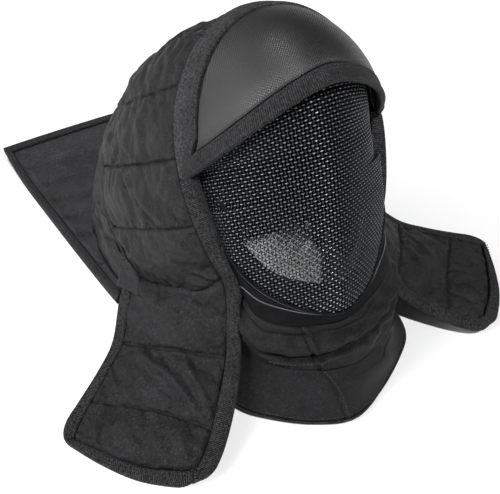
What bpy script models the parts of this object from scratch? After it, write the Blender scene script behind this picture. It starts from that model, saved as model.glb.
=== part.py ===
"""Fencing mask with a padded cover, resting on a flat surface. Sizes in millimetres, +Z up, the face towards -Y.

Most of the shape is set out in the wearer's frame (across, back, up) and then leant back by RECLINE, the way the
mask settles on its bib and on the neck panel behind it. The side flaps, the bib's hem and the neck panel lie on the
surface and are set out in the object's own frame (x, y, z).
"""

import bpy
import numpy as np

# ---- driving sizes (mm, degrees) ----
RECLINE = 31.0          # lean of the wearer's vertical, backwards
CENTRE_Y = 130.75       # y of the middle of the whole object before it is centred
GAP = 0.5               # clearance from a piece to the seam it shares with its neighbour

HEAD_HALF_WIDTH = 120.0      # padded cover: half width, half length and half height of the head form
HEAD_HALF_LENGTH = 273.0
HEAD_HALF_HEIGHT = 141.0
HEAD_CENTRE = (77.3, 108.3)  # (back, up) of its centre
HEAD_PITCH = 24.6            # its long axis rises towards the brow

PANEL_THICK = 7.0       # quilted padding
CLOTH_THICK = 4.0       # woven brow panel
TAPE_THICK = 6.0        # ribbed tapes, wrapped over an edge
TAPE_RISE = 1.2         # how far a tape stands over the padding
HEM_TAPE = 9.0          # width of the tape round a flap

ARCH_FRONT = -109.5     # the tape over the crown lies between these two upright planes
ARCH_REAR = -87.0
PIPING_RISE = 2.0       # piped front edge of that tape
# foot of that tape: back, up
ARCH_FOOT = [
    (-109.5, 195.0),
    (-103.9, 184.5),
    (-98.2, 174.0),
    (-92.6, 170.0),
    (-87.0, 168.5),
]

BRIM_HALF = 86.0        # lower edge of the brow panel, across and up
BRIM_MID = 208.0
BRIM_DROP = 38.5
BRIM_POWER = 1.7
BRIM_TAPE = 11.5

FACE_HALF = 74.0        # wire mesh: half width where the jaw ends
FACE_POWER = 1.55       # 1 would be a straight keel, 2 a round front
FACE_DEPTH = 45.0       # from the keel back to the rim at the jaw, and that much more higher up
FACE_DEEPER = 8.0
MESH_WALL = 1.8
COVER_WALL = 8.5        # from the outer face of the cover to the wire mesh
CHIN_UP = 31.0
JAW_RISE = 80.0
JAW_POWER = 0.78
TEMPLE_UP = 140.0       # the mesh's rim runs straight up to here, then back round the ear
TEMPLE_BACK = -86.0
CHEEK_BACK = 13.0       # how far the mesh's sides are carried straight back beside the jaw
TEMPLE_HALF = 77.0
PIVOT = (-20.0, 170.0)  # (back, up) about which the mesh turns over the crown
EAR_RADIUS = 32.0
CROWN_TURN = 112.0      # how far round that pivot the mesh goes
FACE_MIDDLE = (-150.0, 150.0)   # (back, up)
TRIM_WIDTH = 14.0
TRIM_CHIN = 13.0        # and that much wider at the chin
TRIM_THICK = 3.0

# middle line of the face: up, back
RIDGE = [
    (20.0, -112.0),
    (31.0, -116.0),
    (46.0, -124.0),
    (70.0, -131.5),
    (110.0, -144.0),
    (156.0, -158.0),
    (200.0, -166.0),
    (240.0, -166.0),
]
# side panel on the head form. Columns: back and up at the front edge, back and up at the rear edge, bow of the row
SIDE_HOOD = [
    (-87.0, 264.0, 46.0, 252.0, 8.0),
    (-87.0, 250.0, 62.0, 240.0, 4.0),
    (-87.0, 234.0, 68.0, 229.0, 0.0),
    (-87.0, 209.0, 66.0, 206.0, 0.0),
    (-87.0, 184.0, 56.0, 184.0, 0.0),
    (-87.0, 157.0, 58.0, 157.0, 0.0),
    (-85.0, 131.0, 50.0, 131.0, 0.0),
    (-80.0, 105.0, 44.0, 106.0, 0.0),
]
# side flap. Columns: x, y, z at the front seam, a quarter back, halfway, three quarters back and at the rear edge
SIDE_FLAP = [
    ((76, -20, 107), (90, -8, 92), (101, 17, 79), (112, 47, 66), (124, 75, 62)),
    ((77, -27, 88), (91, -13, 78), (103, 8, 69), (118, 34, 59), (131, 66, 54)),
    ((81, -33, 70), (94, -18, 66), (106, -2, 60), (125, 22, 52), (140, 57, 46)),
    ((89, -45, 46), (104, -33, 46), (119, -18, 45), (139, 6, 38), (159, 31, 31)),
    ((105, -63, 31), (121, -50, 33), (135, -33, 33), (160, -8, 29), (180, 13, 25)),
    ((125, -85, 21), (138, -68, 23), (154, -50, 24), (178, -27, 23), (204, -4, 20)),
    ((137, -96, 16), (153, -83, 17), (169, -66, 17), (194, -43, 18), (218, -14, 18)),
    ((149, -105, 12), (165, -94, 12), (184, -79, 12), (206, -53, 14), (226, -23, 16.5)),
    ((157, -114, 9), (169, -107, 9), (191, -88, 10), (211, -61, 12), (230, -27, 16)),
]
# free edge of the tape beside the face and down the flap, from the fifth row on: x, y, z
EDGE_FREE = [
    (87.5, 7.0, 203.0),
    (86.5, -2.0, 188.0),
    (82.5, -15.0, 161.0),
    (78.0, -26.0, 136.0),
    (73.5, -34.0, 109.0),
    (74.0, -40.0, 89.0),
    (76.0, -46.0, 69.0),
    (84.5, -60.0, 41.0),
    (97.0, -76.0, 29.0),
    (115.0, -95.0, 19.0),
    (129.0, -107.0, 14.0),
    (143.0, -116.0, 10.0),
    (151.0, -119.0, 9.0),
]
EDGE_START = (4.61, 4.56, 4.53)  # rows where that tape begins, under the crown tape's foot: seam, middle, free edge
EDGE_THIN = 3.0         # its thickness at the free edge
SLIT_ROW = 4            # the side panel parts from the rear panel here
# lower corners of the flap: the corner, a point along each of its two edges, and the radius
FLAP_CORNERS = [
    ((230.0, -27.0, 16.0), (211.0, -61.0, 12.0), (218.0, -14.0, 18.0), 10.0),
    ((151.0, -119.0, 9.0), (115.0, -95.0, 19.0), (191.0, -88.0, 10.0), 20.0),
]

# rear panel: back at the middle of each row of the side panel's rear edge, from the top seam's end on
BACK_MIDDLE = [-87.0, -45.0, -3.0, 38.0, 78.0, 108.0, 134.0, 162.0, 188.0, 210.0, 228.0, 240.0, 247.0]
BACK_PART = [0, 0, 0, 0, 0, 0.5, 1.5, 4.0]   # how far it stands back from the side panel's rear edge, down the slit
BACK_FOOT = [(29.0, 80.0), (40.0, 36.5)]     # (back, up) of its side edge below that
NECK_FRONT = (130.0, 98.0)   # neck panel: x, y of its front corner
NECK_REAR = (152.5, 385.0)   # x, y of its rear corner
NECK_THICK = 8.0
SEAM_GAP = 0.3               # from the neck panel up to the rear panel's lower rim, where the two are sewn
NECK_LIFT = 16.0             # rise of the rear hem off the surface
NECK_FLAT = 306.0            # y up to which it lies flat
NECK_BOW = 4.0               # bow of the rear hem
NECK_TUCK = 5.0              # how far the neck panel reaches in under the rear panel's rim

# bib, from the middle to the side. Columns: x, y, z of the strip's lower edge and of a line halfway down
BIB_DROP = [
    ((0, -85, 76), (0, -113, 32)),
    ((27, -80, 79), (30, -104, 32)),
    ((51, -71, 83), (54, -86, 33)),
    ((67, -56, 90), (70.5, -63, 35)),
    ((65, -27, 98), (70, -31, 37)),
]
# hem on the surface from the wearer's right to the left: x, y
BIB_HEM = [
    (-98.0, -36.0),
    (-92.0, -68.0),
    (-75.0, -90.0),
    (-47.0, -113.0),
    (-14.0, -127.0),
    (22.0, -116.0),
    (60.0, -96.0),
    (84.0, -76.0),
    (98.0, -38.0),
]
BIB_HEM_RISE = 3.6
BIB_WALL = 3.6
BIB_BINDING = 7.0
STRIP_THICK = 3.0
STRIP_REACH = 0.9       # share of the jaw that the strip under the mesh covers
STRIP_DROP = 1.7        # from the mesh's rim down to the strip's upper edge
STRIP_SINK = 1.2        # and in from the mesh
COLLAR_PART = 0.34      # share of the bib's height taken by the padded collar
COLLAR_BULGE = 6.0

TAB_ROWS = (7.6, 9.1)   # hook-and-loop tab: rows of the side panel that it spans
TAB_WIDTH = 19.0
TAB_THICK = 2.5

LEAN = np.radians(RECLINE)
PITCH = np.radians(HEAD_PITCH)


# ---- frames and the head form ----
def world(across, back, up):
    """Wearer's frame to the object's own."""
    y = np.asarray(up) * np.sin(LEAN) + np.asarray(back) * np.cos(LEAN)
    z = np.asarray(up) * np.cos(LEAN) - np.asarray(back) * np.sin(LEAN)
    return np.stack(np.broadcast_arrays(np.asarray(across, float), y, z), -1)


def wearer(point):
    """The object's own frame to the wearer's."""
    x, y, z = np.moveaxis(np.asarray(point, float), -1, 0)
    return x, y * np.cos(LEAN) - z * np.sin(LEAN), y * np.sin(LEAN) + z * np.cos(LEAN)


def head_axes(back, up):
    dr, ds = back - HEAD_CENTRE[0], up - HEAD_CENTRE[1]
    return -dr * np.cos(PITCH) + ds * np.sin(PITCH), dr * np.sin(PITCH) + ds * np.cos(PITCH)


def head_half(back, up, inset=0.0):
    """Half width of the head form at a place in the middle plane."""
    along, rise = head_axes(back, up)
    left = 1 - (along / (HEAD_HALF_LENGTH - inset)) ** 2 - (rise / (HEAD_HALF_HEIGHT - inset)) ** 2
    return (HEAD_HALF_WIDTH - inset) * np.sqrt(np.maximum(left, 0.0))


def head_normal(point):
    """Outward unit normal of the head form."""
    x, back, up = wearer(point)
    along, rise = head_axes(back, up)
    a, b = along / HEAD_HALF_LENGTH**2, rise / HEAD_HALF_HEIGHT**2
    normal = world(x / HEAD_HALF_WIDTH**2, -a * np.cos(PITCH) + b * np.sin(PITCH), a * np.sin(PITCH) + b * np.cos(PITCH))
    return normal / np.linalg.norm(normal, axis=-1, keepdims=True)


def on_head(across, back, up):
    """The nearby point of the head form, on the ray from its centre."""
    along, rise = head_axes(back, up)
    size = np.sqrt((across / HEAD_HALF_WIDTH) ** 2 + (along / HEAD_HALF_LENGTH) ** 2 + (rise / HEAD_HALF_HEIGHT) ** 2)
    return world(across / size, HEAD_CENTRE[0] + (back - HEAD_CENTRE[0]) / size, HEAD_CENTRE[1] + (up - HEAD_CENTRE[1]) / size)


def head_ring(back):
    """Centre height, half height and half width of the head form's upright section."""
    dr = back - HEAD_CENTRE[0]
    ll, hh = HEAD_HALF_LENGTH**2, HEAD_HALF_HEIGHT**2
    a2 = np.sin(PITCH) ** 2 / ll + np.cos(PITCH) ** 2 / hh
    b1 = dr * np.sin(PITCH) * np.cos(PITCH) * (1 / hh - 1 / ll)
    c0 = dr**2 * (np.cos(PITCH) ** 2 / ll + np.sin(PITCH) ** 2 / hh)
    left = np.maximum(1 - (c0 - b1**2 / a2), 1e-6)
    return HEAD_CENTRE[1] - b1 / a2, np.sqrt(left / a2), HEAD_HALF_WIDTH * np.sqrt(left)


def head_at(back, turn):
    """Point of the head form: turn is 0 at the crown and +-90 degrees at the widest."""
    middle, half_up, half_across = head_ring(back)
    return world(half_across * np.sin(turn), back, middle + half_up * np.cos(turn))


def head_turn(back, up):
    """Turn, on the wearer's left, of the head form's point at this place."""
    middle, half_up, _ = head_ring(back)
    return np.arccos(np.clip((up - middle) / half_up, -1, 1))


def head_front(across, up):
    """How far back the head form's front lies at this place."""
    c, s = np.cos(PITCH), np.sin(PITCH)
    ds = up - HEAD_CENTRE[1]
    ll, hh = HEAD_HALF_LENGTH**2, HEAD_HALF_HEIGHT**2
    a2 = c * c / ll + s * s / hh
    b1 = ds * s * c * (1 / hh - 1 / ll)
    c0 = ds * ds * (s * s / ll + c * c / hh) + (across / HEAD_HALF_WIDTH) ** 2 - 1
    return HEAD_CENTRE[0] + (-b1 - np.sqrt(np.maximum(b1 * b1 - a2 * c0, 0))) / a2


# ---- curves, grids and walls ----
def curve(rows, at):
    """Smooth curve through rows, evenly spaced in the parameter; at runs from 0 to 1."""
    rows = np.asarray(rows, float)
    last = len(rows) - 1
    place = np.clip(np.asarray(at, float), 0, 1) * last
    i = np.minimum(place.astype(int), last - 1)
    f = (place - i).reshape(place.shape + (1,) * (rows.ndim - 1))
    p1, p2 = rows[i], rows[i + 1]
    p0 = np.where((i > 0).reshape(f.shape), rows[np.maximum(i - 1, 0)], 2 * p1 - p2)
    p3 = np.where((i < last - 1).reshape(f.shape), rows[np.minimum(i + 2, last)], 2 * p2 - p1)
    m1, m2 = (p2 - p0) / 2, (p3 - p1) / 2
    f2, f3 = f * f, f * f * f
    return (2 * f3 - 3 * f2 + 1) * p1 + (f3 - 2 * f2 + f) * m1 + (3 * f2 - 2 * f3) * p2 + (f3 - f2) * m2


def normals(grid, away_from=None):
    """Unit normals of a grid of points, by differences, turned away from a point."""
    normal = np.cross(np.gradient(grid, axis=0), np.gradient(grid, axis=1))
    normal = normal / np.maximum(np.linalg.norm(normal, axis=-1, keepdims=True), 1e-9)
    if away_from is not None and (normal * (grid - np.array(away_from, float))).sum() < 0:
        normal = -normal
    return normal


def unit(vector):
    return vector / np.maximum(np.linalg.norm(vector, axis=-1, keepdims=True), 1e-9)


def mirrored(grid):
    return grid * np.array([-1.0, 1.0, 1.0])


def material(name, colour, rough, metal=0.0):
    made = bpy.data.materials.new(name)
    made.use_nodes = True
    shader = made.node_tree.nodes["Principled BSDF"]
    shader.inputs["Base Color"].default_value = (*colour, 1)
    shader.inputs["Roughness"].default_value = rough
    shader.inputs["Metallic"].default_value = metal
    return made


def solid(name, outer, inner, look, closed=False):
    """A wall between two grids of points. closed joins the last row to the first."""
    n, m = outer.shape[:2]
    points = np.concatenate([outer.reshape(-1, 3), inner.reshape(-1, 3)]) - np.array([0.0, CENTRE_Y, 0.0])
    faces = []
    for i in range(n if closed else n - 1):
        k = (i + 1) % n
        for j in range(m - 1):
            a, b, c, d = i * m + j, k * m + j, k * m + j + 1, i * m + j + 1
            faces.append((a, b, c, d))
            faces.append((n * m + d, n * m + c, n * m + b, n * m + a))
        for j, turned in ((0, False), (m - 1, True)):
            a, b = i * m + j, k * m + j
            quad = (b, a, n * m + a, n * m + b)
            faces.append(quad[::-1] if turned else quad)
    if not closed:
        for i, turned in ((0, True), (n - 1, False)):
            for j in range(m - 1):
                a, b = i * m + j, i * m + j + 1
                quad = (b, a, n * m + a, n * m + b)
                faces.append(quad[::-1] if turned else quad)
    corner = points[np.array(faces)]
    size = (np.cross(corner[:, 1] - corner[:, 0], corner[:, 2] - corner[:, 0]) * corner[:, 0]).sum()
    size += (np.cross(corner[:, 2] - corner[:, 0], corner[:, 3] - corner[:, 0]) * corner[:, 0]).sum()
    if size < 0:
        faces = [face[::-1] for face in faces]
    mesh = bpy.data.meshes.new(name)
    mesh.from_pydata([tuple(p) for p in points * 0.001], [], faces)
    for face in mesh.polygons:
        face.use_smooth = True
    mesh.materials.append(look)
    made = bpy.data.objects.new(name, mesh)
    bpy.context.scene.collection.objects.link(made)
    return made


def wall(name, grid, normal, rise, thick, look):
    """A wall on a grid of points: rise is how far its outer face stands over them. Both may vary from column to column."""
    rise = np.broadcast_to(np.asarray(rise, float), grid.shape[1])[None, :, None]
    thick = np.broadcast_to(np.asarray(thick, float), grid.shape[1])[None, :, None]
    return solid(name, grid + normal * rise, grid + normal * (rise - thick), look)


# ---- side panels with their flaps ----
def side_net():
    """Points of the wearer's left side panel: rows from the crown to the hem, columns from front to rear."""
    part = np.linspace(0, 1, 5)
    rows = []
    for front, front_up, rear, rear_up, bow in SIDE_HOOD:
        back = front + (rear - front) * part
        up = front_up + (rear_up - front_up) * part + bow * 4 * part * (1 - part)
        rows.append(world(head_half(back, up), back, up))
    rows.extend(np.array(row, float) for row in SIDE_FLAP)
    return np.array(rows)


NET = side_net()
LAST_ROW = len(NET) - 1


def side_at(row, across):
    """Point of that surface. row counts the net's rows from 0, across runs from 0 at the front to 1 at the rear."""
    row, across = np.broadcast_arrays(np.asarray(row, float), np.asarray(across, float))
    down = curve(np.eye(LAST_ROW + 1), row / LAST_ROW)
    over = curve(np.eye(5), across)
    return np.einsum("...i,...j,ijk->...k", down, over, NET)


def side_normal(row, across):
    """Its outward unit normal, by differences."""
    row, across = np.broadcast_arrays(np.asarray(row, float), np.asarray(across, float))
    step = 0.02
    down = side_at(np.minimum(row + step, LAST_ROW), across) - side_at(np.maximum(row - step, 0), across)
    over = side_at(row, np.minimum(across + step, 1)) - side_at(row, np.maximum(across - step, 0))
    flap = np.clip(row - len(SIDE_HOOD) + 2, 0, 1)[..., None]
    return unit(unit(np.cross(down, over)) * flap + head_normal(side_at(row, across)) * (1 - flap))


def rounded(points):
    """The flap's points with its two lower corners rounded: each corner's square becomes a quarter disc."""
    points = np.array(points, float)
    for corner, along, across, size in FLAP_CORNERS:
        corner = np.array(corner, float)
        axes = np.stack([unit(np.array(along, float) - corner), unit(np.array(across, float) - corner)], 1)
        centre = corner + axes.sum(1) * size
        place = -(points - centre) @ np.linalg.pinv(axes).T / size
        inside = (place > 0).all(-1) & (np.linalg.norm(points - corner, axis=-1) < 2 * size)
        most = place.max(-1)
        shrink = np.where(inside, most / np.maximum(np.linalg.norm(place, axis=-1), 1e-9), 1.0)
        moved = place * (shrink - 1)[..., None] * size
        points = points - moved @ axes.T
    return points


def side_width(row):
    over = np.linspace(0, 1, 13)
    return np.linalg.norm(np.diff(side_at(row, over), axis=0), axis=1).sum()


def side_panel(name, flip, look):
    rows = np.arange(0, LAST_ROW - 0.99, 0.5)
    place, over = [], []
    for row in rows:
        width = side_width(row)
        tape = HEM_TAPE if row >= SLIT_ROW else 0.0
        place.append(np.full(8, row))
        over.append(np.linspace(GAP / width, 1 - (tape + 2.5 * GAP) / width, 8))
    place, over = np.array(place), np.array(over)
    grid, normal = rounded(side_at(place, over)), side_normal(place, over)
    if flip:
        grid, normal = mirrored(grid), mirrored(normal)
    return wall(name, grid, normal, 0.0, PANEL_THICK, look)


def flap_binding(name, flip, look):
    """Tape down the rear edge from the slit and along the hem."""
    place, over = [], []
    hem = LAST_ROW - 1 + 2 * GAP / 10
    for row in np.append(SLIT_ROW + 0.04, np.arange(SLIT_ROW + 0.5, LAST_ROW + 0.1, 0.5)):
        inner = 1 - HEM_TAPE / side_width(row)
        place.append([min(row, hem), min(row, (hem + LAST_ROW) / 2) if row > hem else row, row])
        over.append([inner, (1 + inner) / 2, 1.0])
    corner = 1 - HEM_TAPE / side_width(LAST_ROW)
    width = side_width(LAST_ROW)
    for share in np.linspace(1, 0, 13)[1:]:
        at = GAP / width + (1 - GAP / width) * share
        place.append([hem, (hem + LAST_ROW) / 2, LAST_ROW])
        over.append([min(at, corner), min(at, (1 + corner) / 2), at])
    place, over = np.array(place), np.array(over)
    grid, normal = rounded(side_at(place, over)), side_normal(place, over)
    if flip:
        grid, normal = mirrored(grid), mirrored(normal)
    return wall(name, grid, normal, (TAPE_RISE, TAPE_RISE, 0.0), (TAPE_THICK, TAPE_THICK, TAPE_THICK - TAPE_RISE), look)


def edge_lines(rows):
    """Seam, middle and free edge of the tape beside the face, and the way its seam faces."""
    start = np.array(EDGE_START)
    near = np.clip(1 - (rows - 4.6) / 0.4, 0, 1)
    places = rows[:, None] + (start - 4.6) * near[:, None]
    seam = side_at(places[:, 0], np.zeros(len(rows)))
    free = curve(EDGE_FREE, (places[:, 2] - 4) / (LAST_ROW - 4))
    inner, outer = (
        side_at(places[:, 1], np.zeros(len(rows))),
        curve(EDGE_FREE, (places[:, 1] - 4) / (LAST_ROW - 4)),
    )
    grid = np.stack([seam + unit(free - seam) * GAP, (inner + outer) / 2, free], 1)
    return grid, side_normal(places[:, 0], np.zeros(len(rows)))


def edge_band(name, flip, look):
    """Tape beside the face and down the flap's front edge."""
    rows = np.concatenate([[4.6], np.arange(5, LAST_ROW + 0.01, 0.5)])
    grid, facing = edge_lines(rows)
    normal = normals(grid, (0, 40, 80))
    normal[:, 0] = facing
    normal[:, 1] = unit(normal[:, 1] + facing)
    grid = rounded(grid)
    if flip:
        grid, normal = mirrored(grid), mirrored(normal)
    return wall(name, grid, normal, (TAPE_RISE, TAPE_RISE + 1, 0.0), (TAPE_THICK, TAPE_THICK, EDGE_THIN), look)


# ---- brow panel and the tapes on the head form ----
def brim(across, over=0.0):
    """Lower edge of the brow panel, moved up by over."""
    up = BRIM_MID - BRIM_DROP * (np.abs(across) / BRIM_HALF) ** BRIM_POWER + over
    return on_head(across, head_front(across, up), up)


def forehead_panel(look):
    steps = 17
    low = brim(np.linspace(-81.5, 81.5, steps), BRIM_TAPE + 2.4)
    turn = np.radians(76.5) * np.linspace(-1, 1, steps)
    high = head_at(np.full(steps, ARCH_FRONT - 4 * GAP), turn)
    grid = []
    for share in np.linspace(0, 1, 8):
        x, back, up = wearer(low + (high - low) * share)
        grid.append(on_head(x, back, up))
    grid = np.array(grid)
    return wall("forehead_panel", grid, head_normal(grid), 0.0, CLOTH_THICK, look)


def forehead_band(look):
    across = np.linspace(-BRIM_HALF, BRIM_HALF, 21)
    end = np.linspace(-82.5, 82.5, 21)
    low, high = brim(across), brim(end, BRIM_TAPE + 1.4)
    x, back, up = wearer((low + high) / 2)
    grid = np.stack([low, on_head(x, back, up), high], 1)
    rise = (TAPE_RISE, TAPE_RISE + 0.8, TAPE_RISE)
    return wall("forehead_band", grid, head_normal(grid), rise, (TAPE_THICK - 1.5,) * 3, look)


def crown_band(look):
    columns = []
    for back, foot in ARCH_FOOT:
        back = min(max(back, ARCH_FRONT), ARCH_REAR - GAP)
        end = head_turn(back, foot)
        columns.append(head_at(np.full(23, back), end * np.linspace(-1, 1, 23)))
    grid = np.stack(columns, 1)
    rise = (PIPING_RISE, 0.6, TAPE_RISE, TAPE_RISE, 0.0)
    thick = (PIPING_RISE + 4, 5.0, TAPE_THICK, TAPE_THICK, TAPE_THICK - TAPE_RISE)
    return wall("crown_band", grid, head_normal(grid), rise, thick, look)


# ---- rear panel and neck panel ----
def back_edge():
    """Side edge of the rear panel in the middle plane's coordinates: the side panel's top and rear edges, then the foot."""
    part = np.linspace(0, 1, 5)[:-1]
    front, front_up, rear, rear_up, bow = SIDE_HOOD[0]
    rows = [(front + (rear - front) * p, front_up + (rear_up - front_up) * p + bow * 4 * p * (1 - p)) for p in part]
    rows.extend((row[2] + part, row[3]) for row, part in zip(SIDE_HOOD, BACK_PART))
    rows.extend(BACK_FOOT)
    return np.array(rows)


def floor_back(turn, height):
    """How far back the head form is this high off the surface, on this turn, at the rear."""
    low, high = 60.0 * np.ones_like(turn), 330.0 * np.ones_like(turn)
    for _ in range(50):
        middle = (low + high) / 2
        over = head_at(middle, turn)[..., 2] > height
        low, high = np.where(over, middle, low), np.where(over, high, middle)
    return low


def back_grid(rows, columns):
    edge = back_edge()
    middle = np.interp(np.linspace(0, 1, len(edge)), np.linspace(0, 1, len(BACK_MIDDLE)), BACK_MIDDLE)
    part = np.linspace(0, 1, rows)
    side = curve(edge, part)
    turn_end = head_turn(side[:, 0], side[:, 1])
    away = np.linspace(-1, 1, columns)
    foot_turn = turn_end[-1] * away
    foot = floor_back(np.abs(foot_turn), NECK_THICK + SEAM_GAP)
    line = curve(middle, part)
    grid = []
    for i, share in enumerate(part):
        plain = line[i] + (side[i, 0] - line[i]) * np.abs(away) ** 2
        blend = np.clip((share - 0.35) / 0.65, 0, 1) ** 2
        last = foot - foot[columns // 2] + line[i]
        last = line[i] + (last - line[i]) * (side[i, 0] - line[i]) / (foot[-1] - foot[columns // 2])
        back = plain * (1 - blend) + last * blend
        grid.append(head_at(back, turn_end[i] * away))
    return np.array(grid)


def back_panel(look):
    grid = back_grid(25, 17)
    grid[0] += unit(grid[1] - grid[0]) * GAP
    grid[:, 0] += unit(grid[:, 1] - grid[:, 0]) * GAP * 2
    grid[:, -1] += unit(grid[:, -2] - grid[:, -1]) * GAP * 2
    inner = grid - head_normal(grid) * PANEL_THICK
    grid[-1, :, 2] = NECK_THICK + SEAM_GAP
    inner[-1, :, 2] = NECK_THICK + SEAM_GAP
    return solid("back_panel", grid, inner, look)


def notch(part, tuck):
    """Edge of the neck panel round the rear panel's foot: part runs from -1 to 1."""
    foot = BACK_FOOT[-1]
    turn = head_turn(foot[0], foot[1]) * part
    rim = head_at(floor_back(np.abs(turn), NECK_THICK + SEAM_GAP), turn)
    out = head_normal(rim) * np.array([1.0, 1.0, 0.0])
    return rim - unit(out) * tuck


def neck_line(part, inset):
    """Outer edge of the neck panel, moved in by inset: part runs from -1 to 1, its corners are at -0.45 and 0.45."""
    turn = 0.45
    half, rear = NECK_REAR
    away = np.abs(part)
    down = np.clip((1 - away) / (1 - turn), 0, 1)
    x = NECK_FRONT[0] + (half - NECK_FRONT[0]) * down**0.85 - inset
    y = NECK_FRONT[1] + (rear - NECK_FRONT[1] - inset) * down
    inside = away < turn
    x = np.where(inside, (half - inset) * away / turn, x)
    y = np.where(inside, rear - inset + NECK_BOW * (1 - (away / turn) ** 2), y)
    return np.stack([x * np.sign(part), y], -1)


def neck_rise(y):
    return NECK_LIFT * np.clip((y - NECK_FLAT) / (NECK_REAR[1] - NECK_FLAT), 0, 2) ** 2


NECK_PARTS = np.concatenate([np.linspace(-1, -0.45, 13), np.linspace(-0.45, 0.45, 13)[1:-1], np.linspace(0.45, 1, 13)])


def rear_flap(look):
    inner = notch(np.sign(NECK_PARTS) * np.abs(NECK_PARTS) ** 0.8, NECK_TUCK)[:, :2]
    outer = neck_line(NECK_PARTS, HEM_TAPE)
    share = np.array([0.0, 0.34, 0.67, 1.0])[None, :, None]
    flat = inner[:, None] * (1 - share) + outer[:, None] * share
    low = np.concatenate([flat, neck_rise(flat[..., 1])[..., None]], -1)
    high = low + np.array([0.0, 0.0, NECK_THICK])
    return solid("rear_flap", high, low, look)


def rear_flap_binding(look):
    flat = np.stack([neck_line(NECK_PARTS, HEM_TAPE - 2 * GAP), neck_line(NECK_PARTS, HEM_TAPE / 2), neck_line(NECK_PARTS, 0)], 1)
    low = np.concatenate([flat, neck_rise(flat[..., 1])[..., None]], -1)
    high = low + np.array([0.0, 0.0, NECK_THICK])
    high[:, :2, 2] += TAPE_RISE
    high[:, 2, 2] -= 2.0
    return solid("rear_flap_binding", high, low, look)


# ---- wire mesh and its trim ----
def ridge(up):
    table = np.array(RIDGE)
    return np.interp(up, table[:, 0], table[:, 1])


def face_depth(up):
    return FACE_DEPTH + FACE_DEEPER * np.clip((up - 110) / 50, 0, 1)


def face_back(across, up):
    """How far back the mesh lies in front of the face."""
    return ridge(up) + face_depth(up) * (np.abs(across) / (FACE_HALF + 2)) ** FACE_POWER


def section(start, heading, depth):
    """Half width of the mesh this far in from its middle line, along a heading in the middle plane."""
    back, up = start[0] + depth * heading[0], start[1] + depth * heading[1]
    inside = np.maximum(head_half(back, up, COVER_WALL), 1e-6)
    front = (FACE_HALF + 2) * (np.maximum(depth, 0) / face_depth(start[1])) ** (1 / FACE_POWER)
    soft = (np.maximum(front, 1e-6) ** -8 + inside**-8) ** (-1 / 8)
    blend = np.clip(-heading[1] / 0.6, 0, 1)
    return np.where(depth <= 0, 0, soft * (1 - blend) + inside * blend)


def crown_reach(turn):
    """Distance from the pivot to the mesh's middle line on this turn."""
    heading = np.array([np.cos(turn), -np.sin(turn)])
    near, far = 40.0, 260.0
    for _ in range(40):
        middle = (near + far) / 2
        back, up = PIVOT[0] - heading[0] * middle, PIVOT[1] - heading[1] * middle
        along, rise = head_axes(back, up)
        size = (along / (HEAD_HALF_LENGTH - COVER_WALL)) ** 2 + (rise / (HEAD_HALF_HEIGHT - COVER_WALL)) ** 2
        if size < 1 and back > ridge(up):
            near = middle
        else:
            far = middle
    return near


def cage_line(place, steps):
    """One row of the mesh from its middle line to its left rim. place: 0 at the chin, 1 where the turn starts, 2 at the rear."""
    q = np.linspace(0, 1, steps)
    if place < 1:
        split = 0.72
        low = np.clip(place / split, 0, 1)
        if place <= split:
            x = (FACE_HALF * (1 - low) + TEMPLE_HALF * low) * np.sin(q * np.pi / 2)
            jaw = CHIN_UP + JAW_RISE * (1 - np.cos(q * np.pi / 2)) ** JAW_POWER
            up = jaw * (1 - low) + TEMPLE_UP * low
            return x, face_back(x, up) + CHEEK_BACK * np.clip((q - 0.7) / 0.3, 0, 1) ** 2, up
        share = (place - split) / (1 - split)
        up = TEMPLE_UP + (PIVOT[1] - TEMPLE_UP) * share
        end = TEMPLE_BACK + (PIVOT[0] - EAR_RADIUS - TEMPLE_BACK) * share
        depth = (end - ridge(up)) * q**1.4
        half = section((ridge(up), up), (1.0, 0.0), depth)
        ease = share * share * (3 - 2 * share)
        half = np.minimum(half, TEMPLE_HALF) * (1 - ease) + half * ease
        return half, ridge(up) + depth, np.full(steps, up)
    turn = np.radians(CROWN_TURN) * (place - 1)
    heading = np.array([np.cos(turn), -np.sin(turn)])
    reach = crown_reach(turn)
    start = (PIVOT[0] - heading[0] * reach, PIVOT[1] - heading[1] * reach)
    depth = (reach - EAR_RADIUS) * q**1.6
    return section(start, heading, depth), start[0] + depth * heading[0], start[1] + depth * heading[1]


def cage_grid(places, steps):
    lines = []
    for place in places:
        x, back, up = cage_line(place, steps)
        lines.append(np.concatenate([world(-x[:0:-1], back[:0:-1], up[:0:-1]), world(x, back, up)]))
    return np.array(lines)


CAGE_PLACES = np.concatenate([np.linspace(0, 0.72, 9), np.linspace(0.72, 1, 4)[1:], np.linspace(1, 2, 14)[1:]])
CAGE_STEPS = 11


def mesh_cage(look):
    grid = cage_grid(CAGE_PLACES, CAGE_STEPS)
    return wall("mesh_cage", grid, normals(grid, (0, 60, 120)), 0.0, MESH_WALL, look)


def cage_rim():
    """The mesh's rim as a closed loop, with its outward normals there."""
    fine = cage_grid(CAGE_PLACES, CAGE_STEPS)
    normal = normals(fine, (0, 60, 120))
    loop = np.concatenate([fine[0, :-1], fine[:-1, -1], fine[-1, :0:-1], fine[:0:-1, 0]])
    facing = np.concatenate([normal[0, :-1], normal[:-1, -1], normal[-1, :0:-1], normal[:0:-1, 0]])
    return loop, facing


def chin_share(loop):
    """1 at the chin, falling to 0 up the jaw."""
    _, back, up = wearer(loop)
    return np.clip(1 - (up - CHIN_UP) / (0.6 * JAW_RISE), 0, 1) ** 1.5 * (back < PIVOT[0])


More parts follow.
